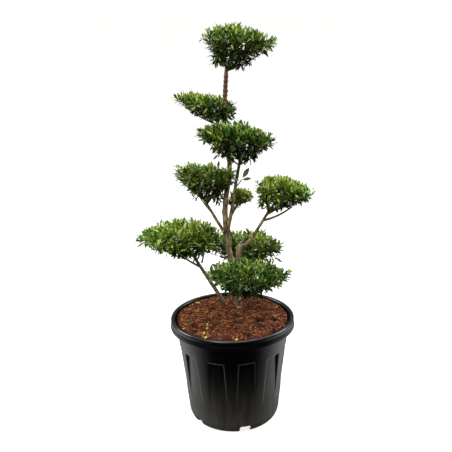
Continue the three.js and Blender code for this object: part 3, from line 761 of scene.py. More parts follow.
def pot_profile(settings):
    """Radius and height pairs from the middle of the underside, up the outside and down the inside.
    The third value is the share of the panel depth at that height."""
    bead = settings.bead_radius
    ring_inner = FOOT_RADIUS - FOOT_RING_WIDTH
    corner_width = body_radius(CORNER_HEIGHT) - FOOT_RADIUS
    foot = [(CAP_RADIUS, 0), (CENTRE_FOOT_RADIUS - FOOT_BREAK, 0), (CENTRE_FOOT_RADIUS, FOOT_BREAK),
            (CENTRE_FOOT_RADIUS + FOOT_SLOPE, BASE_RECESS), (RECESS_RADIUS, BASE_RECESS), RING_KNEE,
            (ring_inner, RING_BREAK), (ring_inner + RING_BREAK, 0)]
    corner = arc(FOOT_RADIUS, CORNER_HEIGHT, corner_width, -90, 0, steps=14, rise=CORNER_HEIGHT)
    low_wall = [(body_radius(z), z) for z in np.arange(LOW_WALL_START, PANEL_FADE, ROW_STEP)]
    panel_end = PANEL_TOP + EDGE_ROUND[0][0] * MM - PANEL_ROWS_END
    panel_rows = [(body_radius(z), z, 1.0) for z in np.linspace(PANEL_FADE, panel_end, PANEL_ROWS)]
    edge_rows = [(PANEL_TOP + offset * MM, share) for offset, share in EDGE_ROUND]
    ledge = [(body_radius(z), z, share) for z, share in edge_rows]
    collar = [(body_radius(z), z) for z in np.linspace(PANEL_TOP + ROW_STEP, SKIRT_BOTTOM, COLLAR_ROWS)]
    skirt_inner = SKIRT_RADIUS - SKIRT_THICKNESS
    groove = [(body_radius(GROOVE_TOP), GROOVE_TOP), (skirt_inner - GROOVE_BREAK, GROOVE_TOP),
              (skirt_inner, SKIRT_BOTTOM + GROOVE_BREAK)]
    hem_round = SKIRT_THICKNESS / 2
    hem = arc(SKIRT_RADIUS - hem_round, SKIRT_BOTTOM + hem_round, hem_round, -160, 0, steps=5)
    skirt = [(SKIRT_RADIUS - inward, SKIRT_BOTTOM + up) for inward, up in SKIRT_CURVE]
    rim = arc(BEAD_RING_RADIUS, POT_HEIGHT - bead, bead, *RIM_ARC, steps=16)
    inside = [INNER_LIP, (body_radius(SKIRT_BOTTOM) - WALL, SKIRT_BOTTOM), (INNER_WAIST_RADIUS, PANEL_TOP),
              (body_radius(PANEL_FADE) - WALL, PANEL_FADE),
              (body_radius(CORNER_HEIGHT) - WALL, CORNER_HEIGHT),
              (CAVITY_FLOOR_RADIUS, CAVITY_FLOOR), (CAP_RADIUS, CAVITY_FLOOR)]
    rows = [*foot, *corner, *low_wall, *panel_rows, *ledge, *collar, *groove, *hem, *skirt, *rim, *inside]
    return [(row[0], row[1], row[2] if len(row) > 2 else 0.0) for row in rows]


def panel_sink(settings, z):
    """How deep a panel's floor lies under the wall at a height."""
    share = (z - PANEL_FADE) / (PANEL_TOP - PANEL_FADE)
    return settings.panel_depth * min(1, max(0, share))


def edge_mark(row_share, column_share):
    """How a point is marked, as rubbed with a painted highlight or as a painted rib highlight, from the
    shares of the panel depth at its row and its column.
    """
    if RUBBED_LIT_UP[0] < row_share < RUBBED_LIT_UP[1] and column_share > RUBBED_LIT_ROUND:
        return RUBBED_AND_LIT
    if row_share > RIB_HIGHLIGHT_UP and RIB_HIGHLIGHT_ROUND[0] < column_share < RIB_HIGHLIGHT_ROUND[1]:
        return RIB_HIGHLIGHT
    return PLAIN


def pot_mesh(settings):
    """The pot's points and faces, with the mark of each face: that of its second most marked corner."""
    profile = pot_profile(settings)
    points = []
    marks = []
    for radius, z, row_share in profile:
        columns = pot_columns(settings, z)
        for turn, column_share in columns:
            share = min(row_share, column_share)
            reach = radius - share * panel_sink(settings, z)
            points.append((reach * math.sin(turn), -reach * math.cos(turn), z))
            marks.append(edge_mark(row_share, column_share))
    faces = closed_rings(len(profile), len(columns))
    tints = [sorted(marks[corner] for corner in face)[-2] for face in faces[:-2]]
    return points, faces, [*tints, PLAIN, PLAIN]


def notch_cutter():
    """Rounded blocks where the foot's drain notches go."""
    cutter = Gathered()
    half = NOTCH_WIDTH / 2
    outline = [(-half, CUTTER_FOOT), (half, CUTTER_FOOT)]
    outline += arc(half - NOTCH_ROUND, NOTCH_HEIGHT - NOTCH_ROUND, NOTCH_ROUND, 0, 90, steps=4)
    outline += arc(-half + NOTCH_ROUND, NOTCH_HEIGHT - NOTCH_ROUND, NOTCH_ROUND, 90, 180, steps=4)
    for bearing in NOTCH_BEARINGS:
        turn = Matrix.Rotation(math.radians(bearing), 3, "Z")
        ends = (NOTCH_INNER_RADIUS, CUTTER_RADIUS)
        points = [turn @ Vector((x, -radius, z)) for radius in ends for x, z in outline]
        cutter.add(points, closed_rings(len(ends), len(outline)))
    return mesh_object("notch_cutter", np.vstack(cutter.points), cutter.faces)


def cut_and_discard(target, cutter):
    """Cuts one mesh out of another for good, and removes the cutter."""
    cut = target.modifiers.new("notches", "BOOLEAN")
    cut.operation = "DIFFERENCE"
    cut.solver = "EXACT"
    cut.object = cutter
    before = len(target.data.polygons)
    dressed = bpy.data.meshes.new_from_object(target.evaluated_get(bpy.context.evaluated_depsgraph_get()))
    target.modifiers.clear()
    target.data = dressed
    bpy.data.objects.remove(cutter)
    if len(dressed.polygons) < before // 2:
        raise RuntimeError("the drain notches could not be cut")


class BONSAI_OT_pot(bpy.types.Operator):
    """Make the moulded nursery pot with its rim, panels and drain notches"""

    bl_idname = "bonsai.pot"
    bl_label = "Make Pot"

    def execute(self, context):
        settings = context.scene.bonsai_pot
        points, faces, tints = pot_mesh(settings)
        plastics = []
        for finish, colour, roughness in PLASTICS:
            name = finish + "_black_polypropylene"
            plastics.append(black_polypropylene(name, getattr(settings, colour), settings.dust, roughness))
        pot = piece("pot_shell", points, faces, plastics, ["pot"], tints)
        cut_and_discard(pot, notch_cutter())
        return {"FINISHED"}


# The soil.

# The bed: its rings and columns, how far its edge turns down, how far it sinks under the flakes, and its
# lumps, each with a height, a size and a slice of the noise.
BED_RINGS = 84
BED_COLUMNS = 250
BED_EDGE_DEPTH = 16 * MM
BED_SINK = 1.5 * MM
LUMPS = [(3.4 * MM, 0.030, 0), (2.6 * MM, 0.011, 0.3), (1.6 * MM, 0.0045, 0.7)]

# Settled hollows: how they deepen with their size, the depth past which they are painted dark as shade, and
# how far loose coir keeps clear of them in millimetres.
HOLLOW_STEEPNESS = 0.0016
HOLLOW_SHADE_DEPTH = 0.002
HOLE_CLEAR = 3

# Loose coir by tone, with the share of flakes and of fibres in each.
COIR_TONES = ("dark", "mid", "light", "pale")
FLAKE_SHARES = (0.38, 0.32, 0.26, 0.04)
FIBRE_SHARES = (0.2, 0.4, 0.3, 0.1)
EDGE_CLEAR = 2 * MM

# Flakes: how ragged their corners are, width and thickness as shares of the length, their tilt in radians,
# the spread of their lengths, and how far they stand out.
FLAKE_RAGGED = (0.7, 1.2)
FLAKE_WIDTHS = (0.22, 0.46)
FLAKE_DEPTHS = (0.16, 0.3)
FLAKE_TILT = 0.35
FLAKE_SPREAD = (-0.2, 0.4)
FLAKE_LIFT = 0.1

# Fibres: the spread of their lengths, their bend in radians, rings and how they taper, radii in
# millimetres, and how far they lie above the bed and their ends may rise.
FIBRE_LENGTHS = (0.4, 1.5)
FIBRE_BEND = 0.6
FIBRE_STATIONS = 5
FIBRE_TAPER = np.array([0.5, 1, 1, 1, 0.4])
FIBRE_RADII = (0.35, 0.8)
FIBRE_SIDES = 3
FIBRE_LIFT = 0.8 * MM
FIBRE_END_RISE = 2.2 * MM

# Chips of husk and clipped leaves.
CHIP_LENGTH = 10 * MM
LONG_CHIP_LENGTH = 14 * MM
CLIPPED_LENGTH = 16 * MM
CLIPPED_WIDTH_SHARE = 0.36
CLIPPED_LIFT = 2.6 * MM
CLIPPED_LENGTHS = (0.8, 1.3)
CLIPPED_RISES = (-0.1, 0.35)


def hollow_depth(x, y):
    """How far the soil has settled into a hollow at a place."""
    depth = 0
    for hole_x, hole_y, size in HOLES:
        away = math.hypot(x - hole_x * MM, y - hole_y * MM) / (size * MM)
        depth += HOLLOW_STEEPNESS * size * math.exp(-away ** 4)
    return depth


def soil_height(x, y):
    """The soil's height at a place: a low mound, lumps, and hollows where the coir has settled."""
    radius = math.hypot(x, y)
    slope = max(0, radius - MOUND_FLAT_RADIUS) / (SOIL_RADIUS - MOUND_FLAT_RADIUS)
    height = GROUND - (GROUND - SOIL_EDGE) * slope - BED_SINK
    for rise, size, layer in LUMPS:
        height += rise * noise.noise(Vector((x, y, layer)) / size)
    return height - hollow_depth(x, y)


def soil_bed():
    """A round bed of soil, finer than the crumbs on it, with its edge turned down inside the wall."""
    points = [(0, 0, soil_height(0, 0))]
    for ring in range(1, BED_RINGS + 1):
        radius = SOIL_RADIUS * ring / BED_RINGS
        for turn in even_turns(BED_COLUMNS):
            x, y = radius * math.cos(turn), radius * math.sin(turn)
            points.append((x, y, soil_height(x, y)))
    points.extend([(x, y, SOIL_EDGE - BED_EDGE_DEPTH) for x, y, _ in points[-BED_COLUMNS:]])
    faces = disc_faces(BED_RINGS + 1, BED_COLUMNS)
    # Faces deep in a hollow take the hollow colour, which is painted shade.
    tints = [int(hollow_depth(*points[face[0]][:2]) > HOLLOW_SHADE_DEPTH) for face in faces]
    return points, faces, tints


def flake_shape(rng, length):
    """A long, flat flake of eight faces, lying nearly level."""
    corners = np.array([(1, 0, 0), (0, 1, 0), (-1, 0, 0), (0, -1, 0), (0, 0, 1), (0, 0, -1)], float)
    ragged = rng.uniform(*FLAKE_RAGGED, (len(corners), 1))
    corners *= ragged * np.array([1, rng.uniform(*FLAKE_WIDTHS), rng.uniform(*FLAKE_DEPTHS)])
    tilt = Quaternion((*rng.normal(size=2), 0), rng.normal(0, FLAKE_TILT))
    turn = np.array((tilt @ Quaternion(UP, rng.uniform(0, math.tau))).to_matrix())
    faces = [[0, 1, 4], [1, 2, 4], [2, 3, 4], [3, 0, 4], [1, 0, 5], [2, 1, 5], [3, 2, 5], [0, 3, 5]]
    return (turn @ corners.T).T * length / 2, faces


def on_soil(rng):
    """A random place on the soil, clear of the holes."""
    while True:
        radius = (SOIL_RADIUS - EDGE_CLEAR) * math.sqrt(rng.uniform())
        turn = rng.uniform(0, math.tau)
        x, y = radius * math.cos(turn), radius * math.sin(turn)
        if all(math.hypot(x - hx * MM, y - hy * MM) > (size + HOLE_CLEAR) * MM for hx, hy, size in HOLES):
            return x, y


def lay_flakes(rng, settings, heap):
    """Flakes of husk all over the soil, most of them small."""
    for _ in range(settings.flakes):
        x, y = on_soil(rng)
        length = settings.flake_length * rng.lognormal(*FLAKE_SPREAD)
        shape, faces = flake_shape(rng, length)
        tint = int(rng.choice(len(COIR_TONES), p=FLAKE_SHARES))
        heap.add(shape + (x, y, soil_height(x, y) + FLAKE_LIFT * length), faces, tint)


def lay_fibres(rng, settings, heap):
    """Bent fibres that lie on the soil, some with their ends up. One that would cross the wall is left
    out."""
    for _ in range(settings.fibres):
        x, y = on_soil(rng)
        length = settings.fibre_length * rng.uniform(*FIBRE_LENGTHS)
        turn = rng.uniform(0, math.tau)
        bend = rng.normal(0, FIBRE_BEND)
        path = []
        for share in np.linspace(-0.5, 0.5, FIBRE_STATIONS):
            heading = turn + bend * share
            px, py = x + length * share * math.cos(heading), y + length * share * math.sin(heading)
            if math.hypot(px, py) > SOIL_RADIUS - EDGE_CLEAR / 2:
                break
            lift = FIBRE_LIFT + FIBRE_END_RISE * rng.uniform() * (abs(share) == 0.5)
            path.append((px, py, soil_height(px, py) + lift))
        if len(path) == FIBRE_STATIONS:
            thick = rng.uniform(*FIBRE_RADII) * MM
            points, faces = tube(path, thick * FIBRE_TAPER, FIBRE_SIDES)
            heap.add(points, faces, int(rng.choice(len(COIR_TONES), p=FIBRE_SHARES)))


def lay_litter(rng, heap):
    """Chips of husk and clipped leaves, lying nearly flat."""
    for number, (x, y) in enumerate(CHIPS):
        shape, faces = flake_shape(rng, CHIP_LENGTH if number % 3 else LONG_CHIP_LENGTH)
        x, y = x * MM, y * MM
        heap.add(shape + (x, y, soil_height(x, y) + BED_SINK), faces, 0)
    for x, y in LEAF_BITS:
        x, y = x * MM, y * MM
        turn = rng.uniform(0, math.tau)
        along = Vector((math.cos(turn), math.sin(turn), rng.uniform(*CLIPPED_RISES))).normalized()
        root = Vector((x, y, soil_height(x, y) + CLIPPED_LIFT))
        length = CLIPPED_LENGTH * rng.uniform(*CLIPPED_LENGTHS)
        heap.add(leaf_points([(root, along, UP, length, CLIPPED_WIDTH_SHARE)]), LEAF_FACES, 1)


class BONSAI_OT_soil(bpy.types.Operator):
    """Make the coir soil with its crumbs, fibres and litter"""

    bl_idname = "bonsai.soil"
    bl_label = "Make Soil"

    def execute(self, context):
        settings = context.scene.bonsai_soil
        rng = np.random.default_rng(SOIL_SEED)
        # The bed's darker colour is the painted shade of the hollows.
        bed_kinds = [coir("settled_coir", settings.hollow_shade, settings.mid, BED_GRAIN),
                     loose_coir("wet_coir_hollow", settings.hollow_shade)]
        points, faces, tints = soil_bed()
        piece("soil_bed", points, faces, bed_kinds, ["soil"], tints)
        loose = [loose_coir(tone + "_coir_flake", getattr(settings, tone)) for tone in COIR_TONES]
        flakes = Gathered()
        lay_flakes(rng, settings, flakes)
        gathered_piece("soil_flakes", flakes, loose, ["soil"], smooth=False)
        fibres = Gathered()
        lay_fibres(rng, settings, fibres)
        gathered_piece("soil_fibres", fibres, loose, ["soil"])
        litter = Gathered()
        lay_litter(rng, litter)
        litter_kinds = [coir("husk_chip", settings.light, settings.pale, CHIP_GRAIN),
                        holly_leaf("clipped_holly_leaf", settings.bit)]
        gathered_piece("soil_litter", litter, litter_kinds, ["soil"], smooth=False)
        return {"FINISHED"}


# Limbs.

# The bark's relief: ridges along a limb with finer ones on them, rings of old leaf scars, and knots.
# Lengths are in metres along the limb, and heights are shares of its radius or, for ridges, of the relief
# setting.
RIDGE_LENGTH = 22 * MM
RIDGE_TURNS = 1.5
RIDGE_HEIGHT = 1.1
FINE_LENGTH = 7 * MM
FINE_TURNS = 2.4
FINE_HEIGHT = 0.6
RELIEF_RADIUS = 10 * MM
SCAR_STEP = 17 * MM
SCAR_START = 12 * MM
SCAR_WANDER = 6 * MM
SCAR_WIDTH = 2.2 * MM
SCAR_HEIGHT = (0.04, 0.13)
KNOT_EVERY = 60 * MM
KNOT_START = 20 * MM
KNOT_LENGTH = 5 * MM
KNOT_ANGLE = 0.6
KNOT_HEIGHT = 0.28

# How a limb meets the soil or the limb that carries it.
FLARE_RUN = 26
ROOT_LOBES = [(0.10, 3, 0.8), (0.06, 5, 0)]
ROOT_RUN = 14 * MM
BURIED = [(0.010, 1.15), (0.005, 1.08)]
COLLAR_SWELL = 0.35
COLLAR_RUN = 18 * MM

LEADER_NODE_SWELL = 0.3
LEADER_NODE_WIDTH = 1.8 * MM
TRUNK_SIDES = 26
BOUGH_SIDES = 18
STUB_SIDES = 16
STUB_STEP = 1.5 * MM
STUB_DOME_START = 0.72
STUB_DOME = 0.29


def limb_path(limb, step):
    """Even steps along a limb's centreline, in metres."""
    return along_curve(np.array(limb["points"], float) * MM, step)


def limb_radius(limb, share):
    """Taper from foot to tip, with a root flare at the soil and a knuckle where a cut has healed."""
    radius = limb["foot"] + (limb["tip"] - limb["foot"]) * share
    radius = radius + limb.get("flare", 0) * np.exp(-share * FLARE_RUN)
    if "knuckle" in limb:
        at, width, swell = limb["knuckle"]
        radius = radius + swell * np.exp(-((share - at) / width) ** 2)
    return radius * MM


def bark_relief(rng, path, plain, sides, settings):
    """The radius of each point of a limb: ridges along it, wrinkles and leaf scars across it, and knots."""
    run = np.concatenate([[0], np.cumsum(np.linalg.norm(np.diff(path, axis=0), axis=1))])
    turns = even_turns(sides)
    radii = np.repeat(plain[:, None], sides, axis=1)
    start = rng.uniform(0, 50)
    for i, length in enumerate(run):
        scale = settings.relief * plain[i] / RELIEF_RADIUS
        for k, turn in enumerate(turns):
            x, y = RIDGE_TURNS * math.cos(turn), RIDGE_TURNS * math.sin(turn)
            ridge = noise.noise(Vector((x, y, start + length / RIDGE_LENGTH)))
            fine = noise.noise(Vector((FINE_TURNS * x, FINE_TURNS * y, start + length / FINE_LENGTH)))
            radii[i, k] += scale * (RIDGE_HEIGHT * ridge + FINE_HEIGHT * fine)
    for scar in np.arange(SCAR_START, run[-1], SCAR_STEP):
        spot = scar + rng.uniform(-SCAR_WANDER, SCAR_WANDER)
        facing = 0.5 + 0.5 * np.cos(turns - rng.uniform(0, math.tau))
        swell = np.exp(-((run - spot) / SCAR_WIDTH) ** 2)
        radii += np.outer(swell * plain, facing) * rng.uniform(*SCAR_HEIGHT)
    for _ in range(int(run[-1] / KNOT_EVERY)):
        spot, facing = rng.uniform(KNOT_START, run[-1]), rng.uniform(0, math.tau)
        round_way = np.abs((turns - facing + math.pi) % math.tau - math.pi)
        reach = np.hypot((run - spot)[:, None] / KNOT_LENGTH, round_way[None, :] / KNOT_ANGLE)
        radii += plain[:, None] * KNOT_HEIGHT * np.exp(-reach ** 2)
    return radii


def leader_nodes():
    """The heights of the ring-like nodes on the young leader."""
    return np.arange(LEADER_FOOT, LIMBS["trunk"]["points"][-1][2] * MM, LEADER_NODE_STEP)


def healed_stub(limb):
    """A pruned stub with a rounded end, where a bough turns off."""
    path = along_curve(np.array(limb["stub"], float) * MM, STUB_STEP)
    share = np.linspace(0, 1, len(path))
    dome = np.sqrt(1 - np.clip((share - STUB_DOME_START) / STUB_DOME, 0, 1) ** 2)
    return tube(path, limb["stub_radius"] * MM * dome, STUB_SIDES)


def bark_limb(name, limb, rng, settings):
    """One limb's path and bark, sunk a little into the soil or into the limb that carries it."""
    path = limb_path(limb, settings.ring_step)
    share = np.linspace(0, 1, len(path))
    plain = limb_radius(limb, share)
    sides = TRUNK_SIDES if name == "trunk" else BOUGH_SIDES
    radii = bark_relief(rng, path, plain, sides, settings)
    run = share * len(path) * settings.ring_step
    if name == "trunk":
        for node in leader_nodes():
            ring = np.exp(-((path[:, 2] - node) / LEADER_NODE_WIDTH) ** 2)
            radii += (LEADER_NODE_SWELL * plain * ring)[:, None]
    if "flare" in limb:
        turns = even_turns(sides)
        lobes = sum(height * np.cos(count * turns + shift) for height, count, shift in ROOT_LOBES)
        radii += np.outer(plain * np.exp(-run / ROOT_RUN), lobes)
        under = [path[0] - depth * unit(path[1] - path[0]) for depth, _ in BURIED]
        path = np.vstack([under, path])
        radii = np.vstack([*(radii[0] * spread for _, spread in BURIED), radii])
    else:
        radii *= 1 + COLLAR_SWELL * np.exp(-(run / COLLAR_RUN) ** 2)[:, None]
    return tube(path, radii, sides)


def trunk_tints(points, faces):
    """The trunk's tints: 1 in the nick at its foot, 2 on the leader's nodes, and 0 elsewhere."""
    at = np.array(NICK["at"]) * MM
    size = np.array((NICK["across"], NICK["across"], NICK["high"])) * MM
    middles = np.array([points[face].mean(axis=0) for face in faces])
    in_nick = np.linalg.norm((middles - at) / size, axis=1) < 1
    on_node = np.abs(middles[:, 2:] - leader_nodes()).min(axis=1) < LEADER_NODE_HALF
    return [1 if nick else 2 if node else 0 for nick, node in zip(in_nick, on_node)]


class BONSAI_OT_limbs(bpy.types.Operator):
    """Make the trunk and the boughs with the bark's relief"""

    bl_idname = "bonsai.limbs"
    bl_label = "Make Limbs"

    def execute(self, context):
        settings = context.scene.bonsai_bark
        bark = holly_bark(settings)
        cut = young_bark("nicked_pale_wood", settings.cut)
        scar = young_bark("ringed_leader_bark", settings.scar)
        rng = np.random.default_rng(LIMB_SEED)
        for name, limb in LIMBS.items():
            shape = Gathered()
            shape.add(*bark_limb(name, limb, rng, settings))
            if name == "trunk":
                shape.tints = trunk_tints(shape.points[0], shape.faces)
            if "stub" in limb:
                shape.add(*healed_stub(limb))
            gathered_piece("bark_" + name, shape, [bark, cut, scar], [name])
        return {"FINISHED"}


# Foliage.

# The greens by their settings' names: five from darkest to lightest, painted shade low in a pad and painted
# light at its top, and two of lush sprays.
TINTS = ("shade", "deep", "mid", "fresh", "tip", "cool", "lush")
SHADE, DEEP, MID, FRESH, TIP, COOL, LUSH = range(len(TINTS))
GREENER = {MID: COOL, FRESH: LUSH}
COOL_SHARE = 0.8

# A spray's green, painted shade low in the pad and painted light at its top: its number at the stem, how
# far it rises to the top, and how much it strays.
STEM_TINT = 0.5
TINT_RISE = 2.5
TINT_STRAY = 0.5

# A leaf lies along Y from its stalk at 0 to its tip at 1: stations with half the width there.
LEAF_STATIONS = [(0.14, 0.05), (0.36, 0.38), (0.60, 0.50), (0.83, 0.31)]
LEAF_FOLD = 0.20
LEAF_DROOP = 0.13
LEAF_TIP_DROOP = 1.15
LEAF_CURL = 0.5
LEAF_FACES = [
    (0, 3, 2), (0, 2, 1),
    (1, 2, 5, 4), (2, 3, 6, 5), (4, 5, 8, 7), (5, 6, 9, 8), (7, 8, 11, 10), (8, 9, 12, 11),
    (10, 11, 13), (11, 12, 13),
]

# Leaves on a shoot, counted from its tip: the size of the first ones, which are the last young ones, and
# which is the last one before the painted shade at the shoot's foot.
UNGROWN = (0.66, 0.82)
LAST_YOUNG_LEAF = 1
LAST_UNSHADED_LEAF = 5

# How a leaf stands: its angle from the shoot at the tip and what is added down to the foot, in radians, how
# much it lifts, how its face strays from up and leans out, and the shares by which the sizes vary.
TIP_SPREAD = 0.5
FOOT_SPREAD = 0.8
LEAF_LIFT = 0.2
FACE_STRAY = 0.35
FACE_LEAN = 0.2
SPREADS = (0.8, 1.25)
LENGTHS = (0.84, 1.16)
WIDTHS = (0.85, 1.15)
LARGE_LEAF_WIDTH = 1.25
LARGE_LEAF_FACE = Vector((0, -0.7, 0.7))

# The twigs: rings and sides, how far a stem starts inside its limb, and how a twig sags and strays as
# shares of its length and sag.
TWIG_STATIONS = 5
TWIG_SIDES = 6
SHOOT_SIDES = 4
STEM_OVERLAP = 2 * MM
TWIG_SAG = 0.09
TWIG_STRAY = 0.35

# A long twig: how its bearing strays, the levels of its end, the number of shoots that its thickness suits,
# their lengths, and how far they head up, out and aside.
LONG_TWIG_STRAY = 0.12
LONG_TWIG_LEVELS = (-0.04, 0.06)
LONG_TWIG_CARRIES = 8
LONG_TWIG_SHOOTS = (12 * MM, 24 * MM)
HEADS_UP = (0.3, 1)
HEADS_OUT = (0, 0.9)
HEADS_ASIDE = (-0.8, 0.8)

# Steps along the limbs that give a pad's stem and the wood to keep clear of, and how clear leaves keep.
LIMB_STEP = 3 * MM
WOOD_STEP = 4 * MM
WOOD_CLEAR = 1.5 * MM


class Pad:
    """One clipped pad of foliage, with its sizes in metres and the place where its stem starts."""

    def __init__(self, name, sizes):
        self.name = name
        self.heart = Vector(sizes["heart"]) * MM
        self.reach = (sizes["reach"][0] * MM, sizes["reach"][1] * MM)
        self.dome = sizes["dome"] * MM
        self.tilt = sizes["tilt"]
        self.shoots = sizes["shoots"]
        self.strays = [Vector(tip) * MM for tip in sizes["strays"]]
        self.loose = list(self.strays)
        self.fresh = sizes["fresh"]
        self.lush = sizes["lush"]
        self.cool = sizes.get("cool", False)
        limb = LIMBS[sizes["on"]]
        path = limb_path(limb, LIMB_STEP)
        self.heading = Vector(path[-1] - path[-2]).normalized()
        self.stem = Vector(path[-1]) + self.heading * CLEARANCE
        self.stem_radius = limb["tip"] * MM

    def point(self, across, level, turn):
        """A point from its share of the reach, its level and its turn. Under the rim the middle moves in
        to the stem."""
        middle = self.heart.lerp(self.stem, max(0, -level))
        x = across * self.reach[0] * math.cos(turn)
        y = across * self.reach[1] * math.sin(turn)
        return middle + Vector((x, y, self.dome * max(0, level) + self.tilt * x))

    def holds(self, place):
        """Whether a place is under the dome, or over the funnel from the stem to the rim."""
        above = place.z - self.heart.z - self.tilt * (place.x - self.heart.x)
        level = above / self.dome if above > 0 else above / (self.heart.z - self.stem.z)
        middle = self.heart.lerp(self.stem, max(0, -level))
        across = math.hypot((place.x - middle.x) / self.reach[0], (place.y - middle.y) / self.reach[1])
        if level > 0:
            return across ** SHOULDER + level < 1 + LEAF_LOOSE
        return level > -1 and across < 1 + FUNNEL * level + LEAF_LOOSE

    def light(self, place):
        """How well lit a place is, from 0 at the stem to 1 at the top."""
        return (place.z - self.stem.z) / (self.heart.z + self.dome - self.stem.z)


def shoot_tips(pad, count, rng):
    """A loose spiral over the dome, with every third tip on or inside the funnel's side.
    Some tips have grown out since the last clipping, and stand proud of the dome."""
    tips = []
    for i in range(count):
        turn = i * GOLDEN_ANGLE + rng.normal(0, TIP_WANDER)
        if i % SIDE_SHOOT_EVERY == SIDE_SHOOT_EVERY - 1:
            drop = rng.uniform(*SIDE_SHOOT_DROP)
            across = TIP_SHARE * (1 - FUNNEL * drop) * math.sqrt(rng.uniform(*SIDE_SHOOT_AREA))
            tips.append(pad.point(across, -drop, turn))
            continue
        across = math.sqrt((i + rng.uniform(*TIP_STRAY)) / count)
        level = TIP_LEVEL * (1 - across ** SHOULDER) * rng.uniform(*TIP_HEIGHTS)
        tip = pad.point(TIP_SHARE * across * rng.uniform(*TIP_REACHES), level, turn)
        if rng.uniform() < PROUD_SHARE:
            tip += (tip - pad.stem).normalized() * rng.uniform(*PROUD_REACH)
            pad.loose.append(tip)
        tips.append(tip)
    return tips + pad.strays


def share_out(tips):
    """Shares a group of tips out between up to three forks, along the way it spreads most."""
    spread = [max(t[k] for t in tips) - min(t[k] for t in tips) for k in (0, 1)]
    axis = 0 if spread[0] >= spread[1] else 1
    ordered = sorted(tips, key=lambda tip: tip[axis])
    parts = min(3, len(tips))
    stops = [round(i * len(tips) / parts) for i in range(parts + 1)]
    return [ordered[low:high] for low, high in zip(stops, stops[1:])]


def twig_radius(count):
    """The radius of a twig that carries a number of shoots."""
    return TWIG_TIP_RADIUS * count ** TWIG_GROWTH


def branch(start, end, tips, rng, twigs, shoots):
    """Forks from the end of a twig to its group of tips. Lists the twigs, and the last shoots apart."""
    back = (start - end).normalized()
    groups = [[tip] for tip in tips] if len(tips) <= LAST_FORK else share_out(tips)
    for order, group in enumerate(groups):
        foot = end + back * (order * FORK_STEP)
        if len(group) == 1:
            shoots.append((foot, group[0]))
            continue
        middle = sum(group, Vector()) / len(group)
        fork = foot.lerp(middle, FORK_SHARE + FORK_WANDER * rng.uniform(-1, 1))
        twigs.append((foot, fork, twig_radius(len(tips)), twig_radius(len(group))))
        branch(foot, fork, group, rng, twigs, shoots)


def bent_path(foot, tip, rng, steps):
    """A twig's way from foot to tip, sagging outwards first and then turning up."""
    sag = (tip - foot).length * TWIG_SAG
    middle = foot.lerp(tip, 0.5) - UP * sag + Vector(rng.normal(0, TWIG_STRAY, 3)) * sag
    shares = np.linspace(0, 1, steps)[:, None]
    a, b, c = np.array(foot), np.array(middle), np.array(tip)
    return (1 - shares) ** 2 * a + 2 * shares * (1 - shares) * b + shares ** 2 * c


def shoot_bend(foot, tip):
    """The point that bends a shoot: it leaves outwards and turns up towards its tip."""
    run = tip - foot
    heading = (run.normalized() + UP * TIP_LIFT).normalized()
    return tip - heading * (run.length / 2)


def on_shoot(foot, bend, tip, share):
    """A place on a shoot, and the way the shoot is heading there."""
    near, far = foot.lerp(bend, share), bend.lerp(tip, share)
    return near.lerp(far, share), (far - near).normalized()


def leaf_template():
    """A leaf folded along its midrib and drooping to its tip: across, along and up."""
    rows = [(0, 0, 0)]
    for along, half in LEAF_STATIONS:
        drop = -LEAF_DROOP * along ** 2
        rows.extend([(-half, along, drop), (0, along, drop - LEAF_FOLD * half), (half, along, drop)])
    rows.append((0, 1, -LEAF_DROOP * LEAF_TIP_DROOP))
    return np.array(rows)


def leaf_points(leaves):
    """The points of many leaves, each (root, along, face, length, width share, tint)."""
    template = leaf_template()
    root, along, face, length, wide = (np.array([leaf[part] for leaf in leaves]) for part in range(5))
    along = unit(along)
    side = unit(np.cross(along, face))
    face = np.cross(side, along)
    points = root[:, None, :] + length[:, None, None] * (
        template[None, :, 0, None] * wide[:, None, None] * side[:, None, :]
        + template[None, :, 1, None] * along[:, None, :]
        + template[None, :, 2, None] * face[:, None, :] * LEAF_CURL
    )
    return points.reshape(-1, 3)


def wood_tree():
    """A search tree of points along every limb, and the radius at each."""
    spots = []
    for limb in LIMBS.values():
        path = limb_path(limb, WOOD_STEP)
        spots.extend(zip(path, limb_radius(limb, np.linspace(0, 1, len(path)))))
    tree = kdtree.KDTree(len(spots))
    for number, (spot, _) in enumerate(spots):
        tree.insert(spot, number)
    tree.balance()
    return tree, [radius for _, radius in spots]


def in_wood(place, wood):
    """Whether a place is in a limb or against it."""
    tree, radii = wood
    _, number, away = tree.find(place)
    return away < radii[number] + WOOD_CLEAR


def spray_tint(pad, tip, rng):
    """A spray's green: painted shade low in the pad and painted light at its top, and lighter in a fresh
    flush.
    """
    green = STEM_TINT + TINT_RISE * pad.light(tip) + pad.fresh + rng.normal(0, TINT_STRAY)
    return int(min(TIP, max(SHADE, round(green))))


def leaf_tint(tint, number):
    """A leaf's green from its spray's: lighter at the tip of the shoot, where the leaves are young, and
    darker at its foot, as painted shade inside the pad.
    """
    if number <= LAST_YOUNG_LEAF:
        return min(TIP, tint + 1)
    return tint if number <= LAST_UNSHADED_LEAF else max(SHADE, tint - 1)


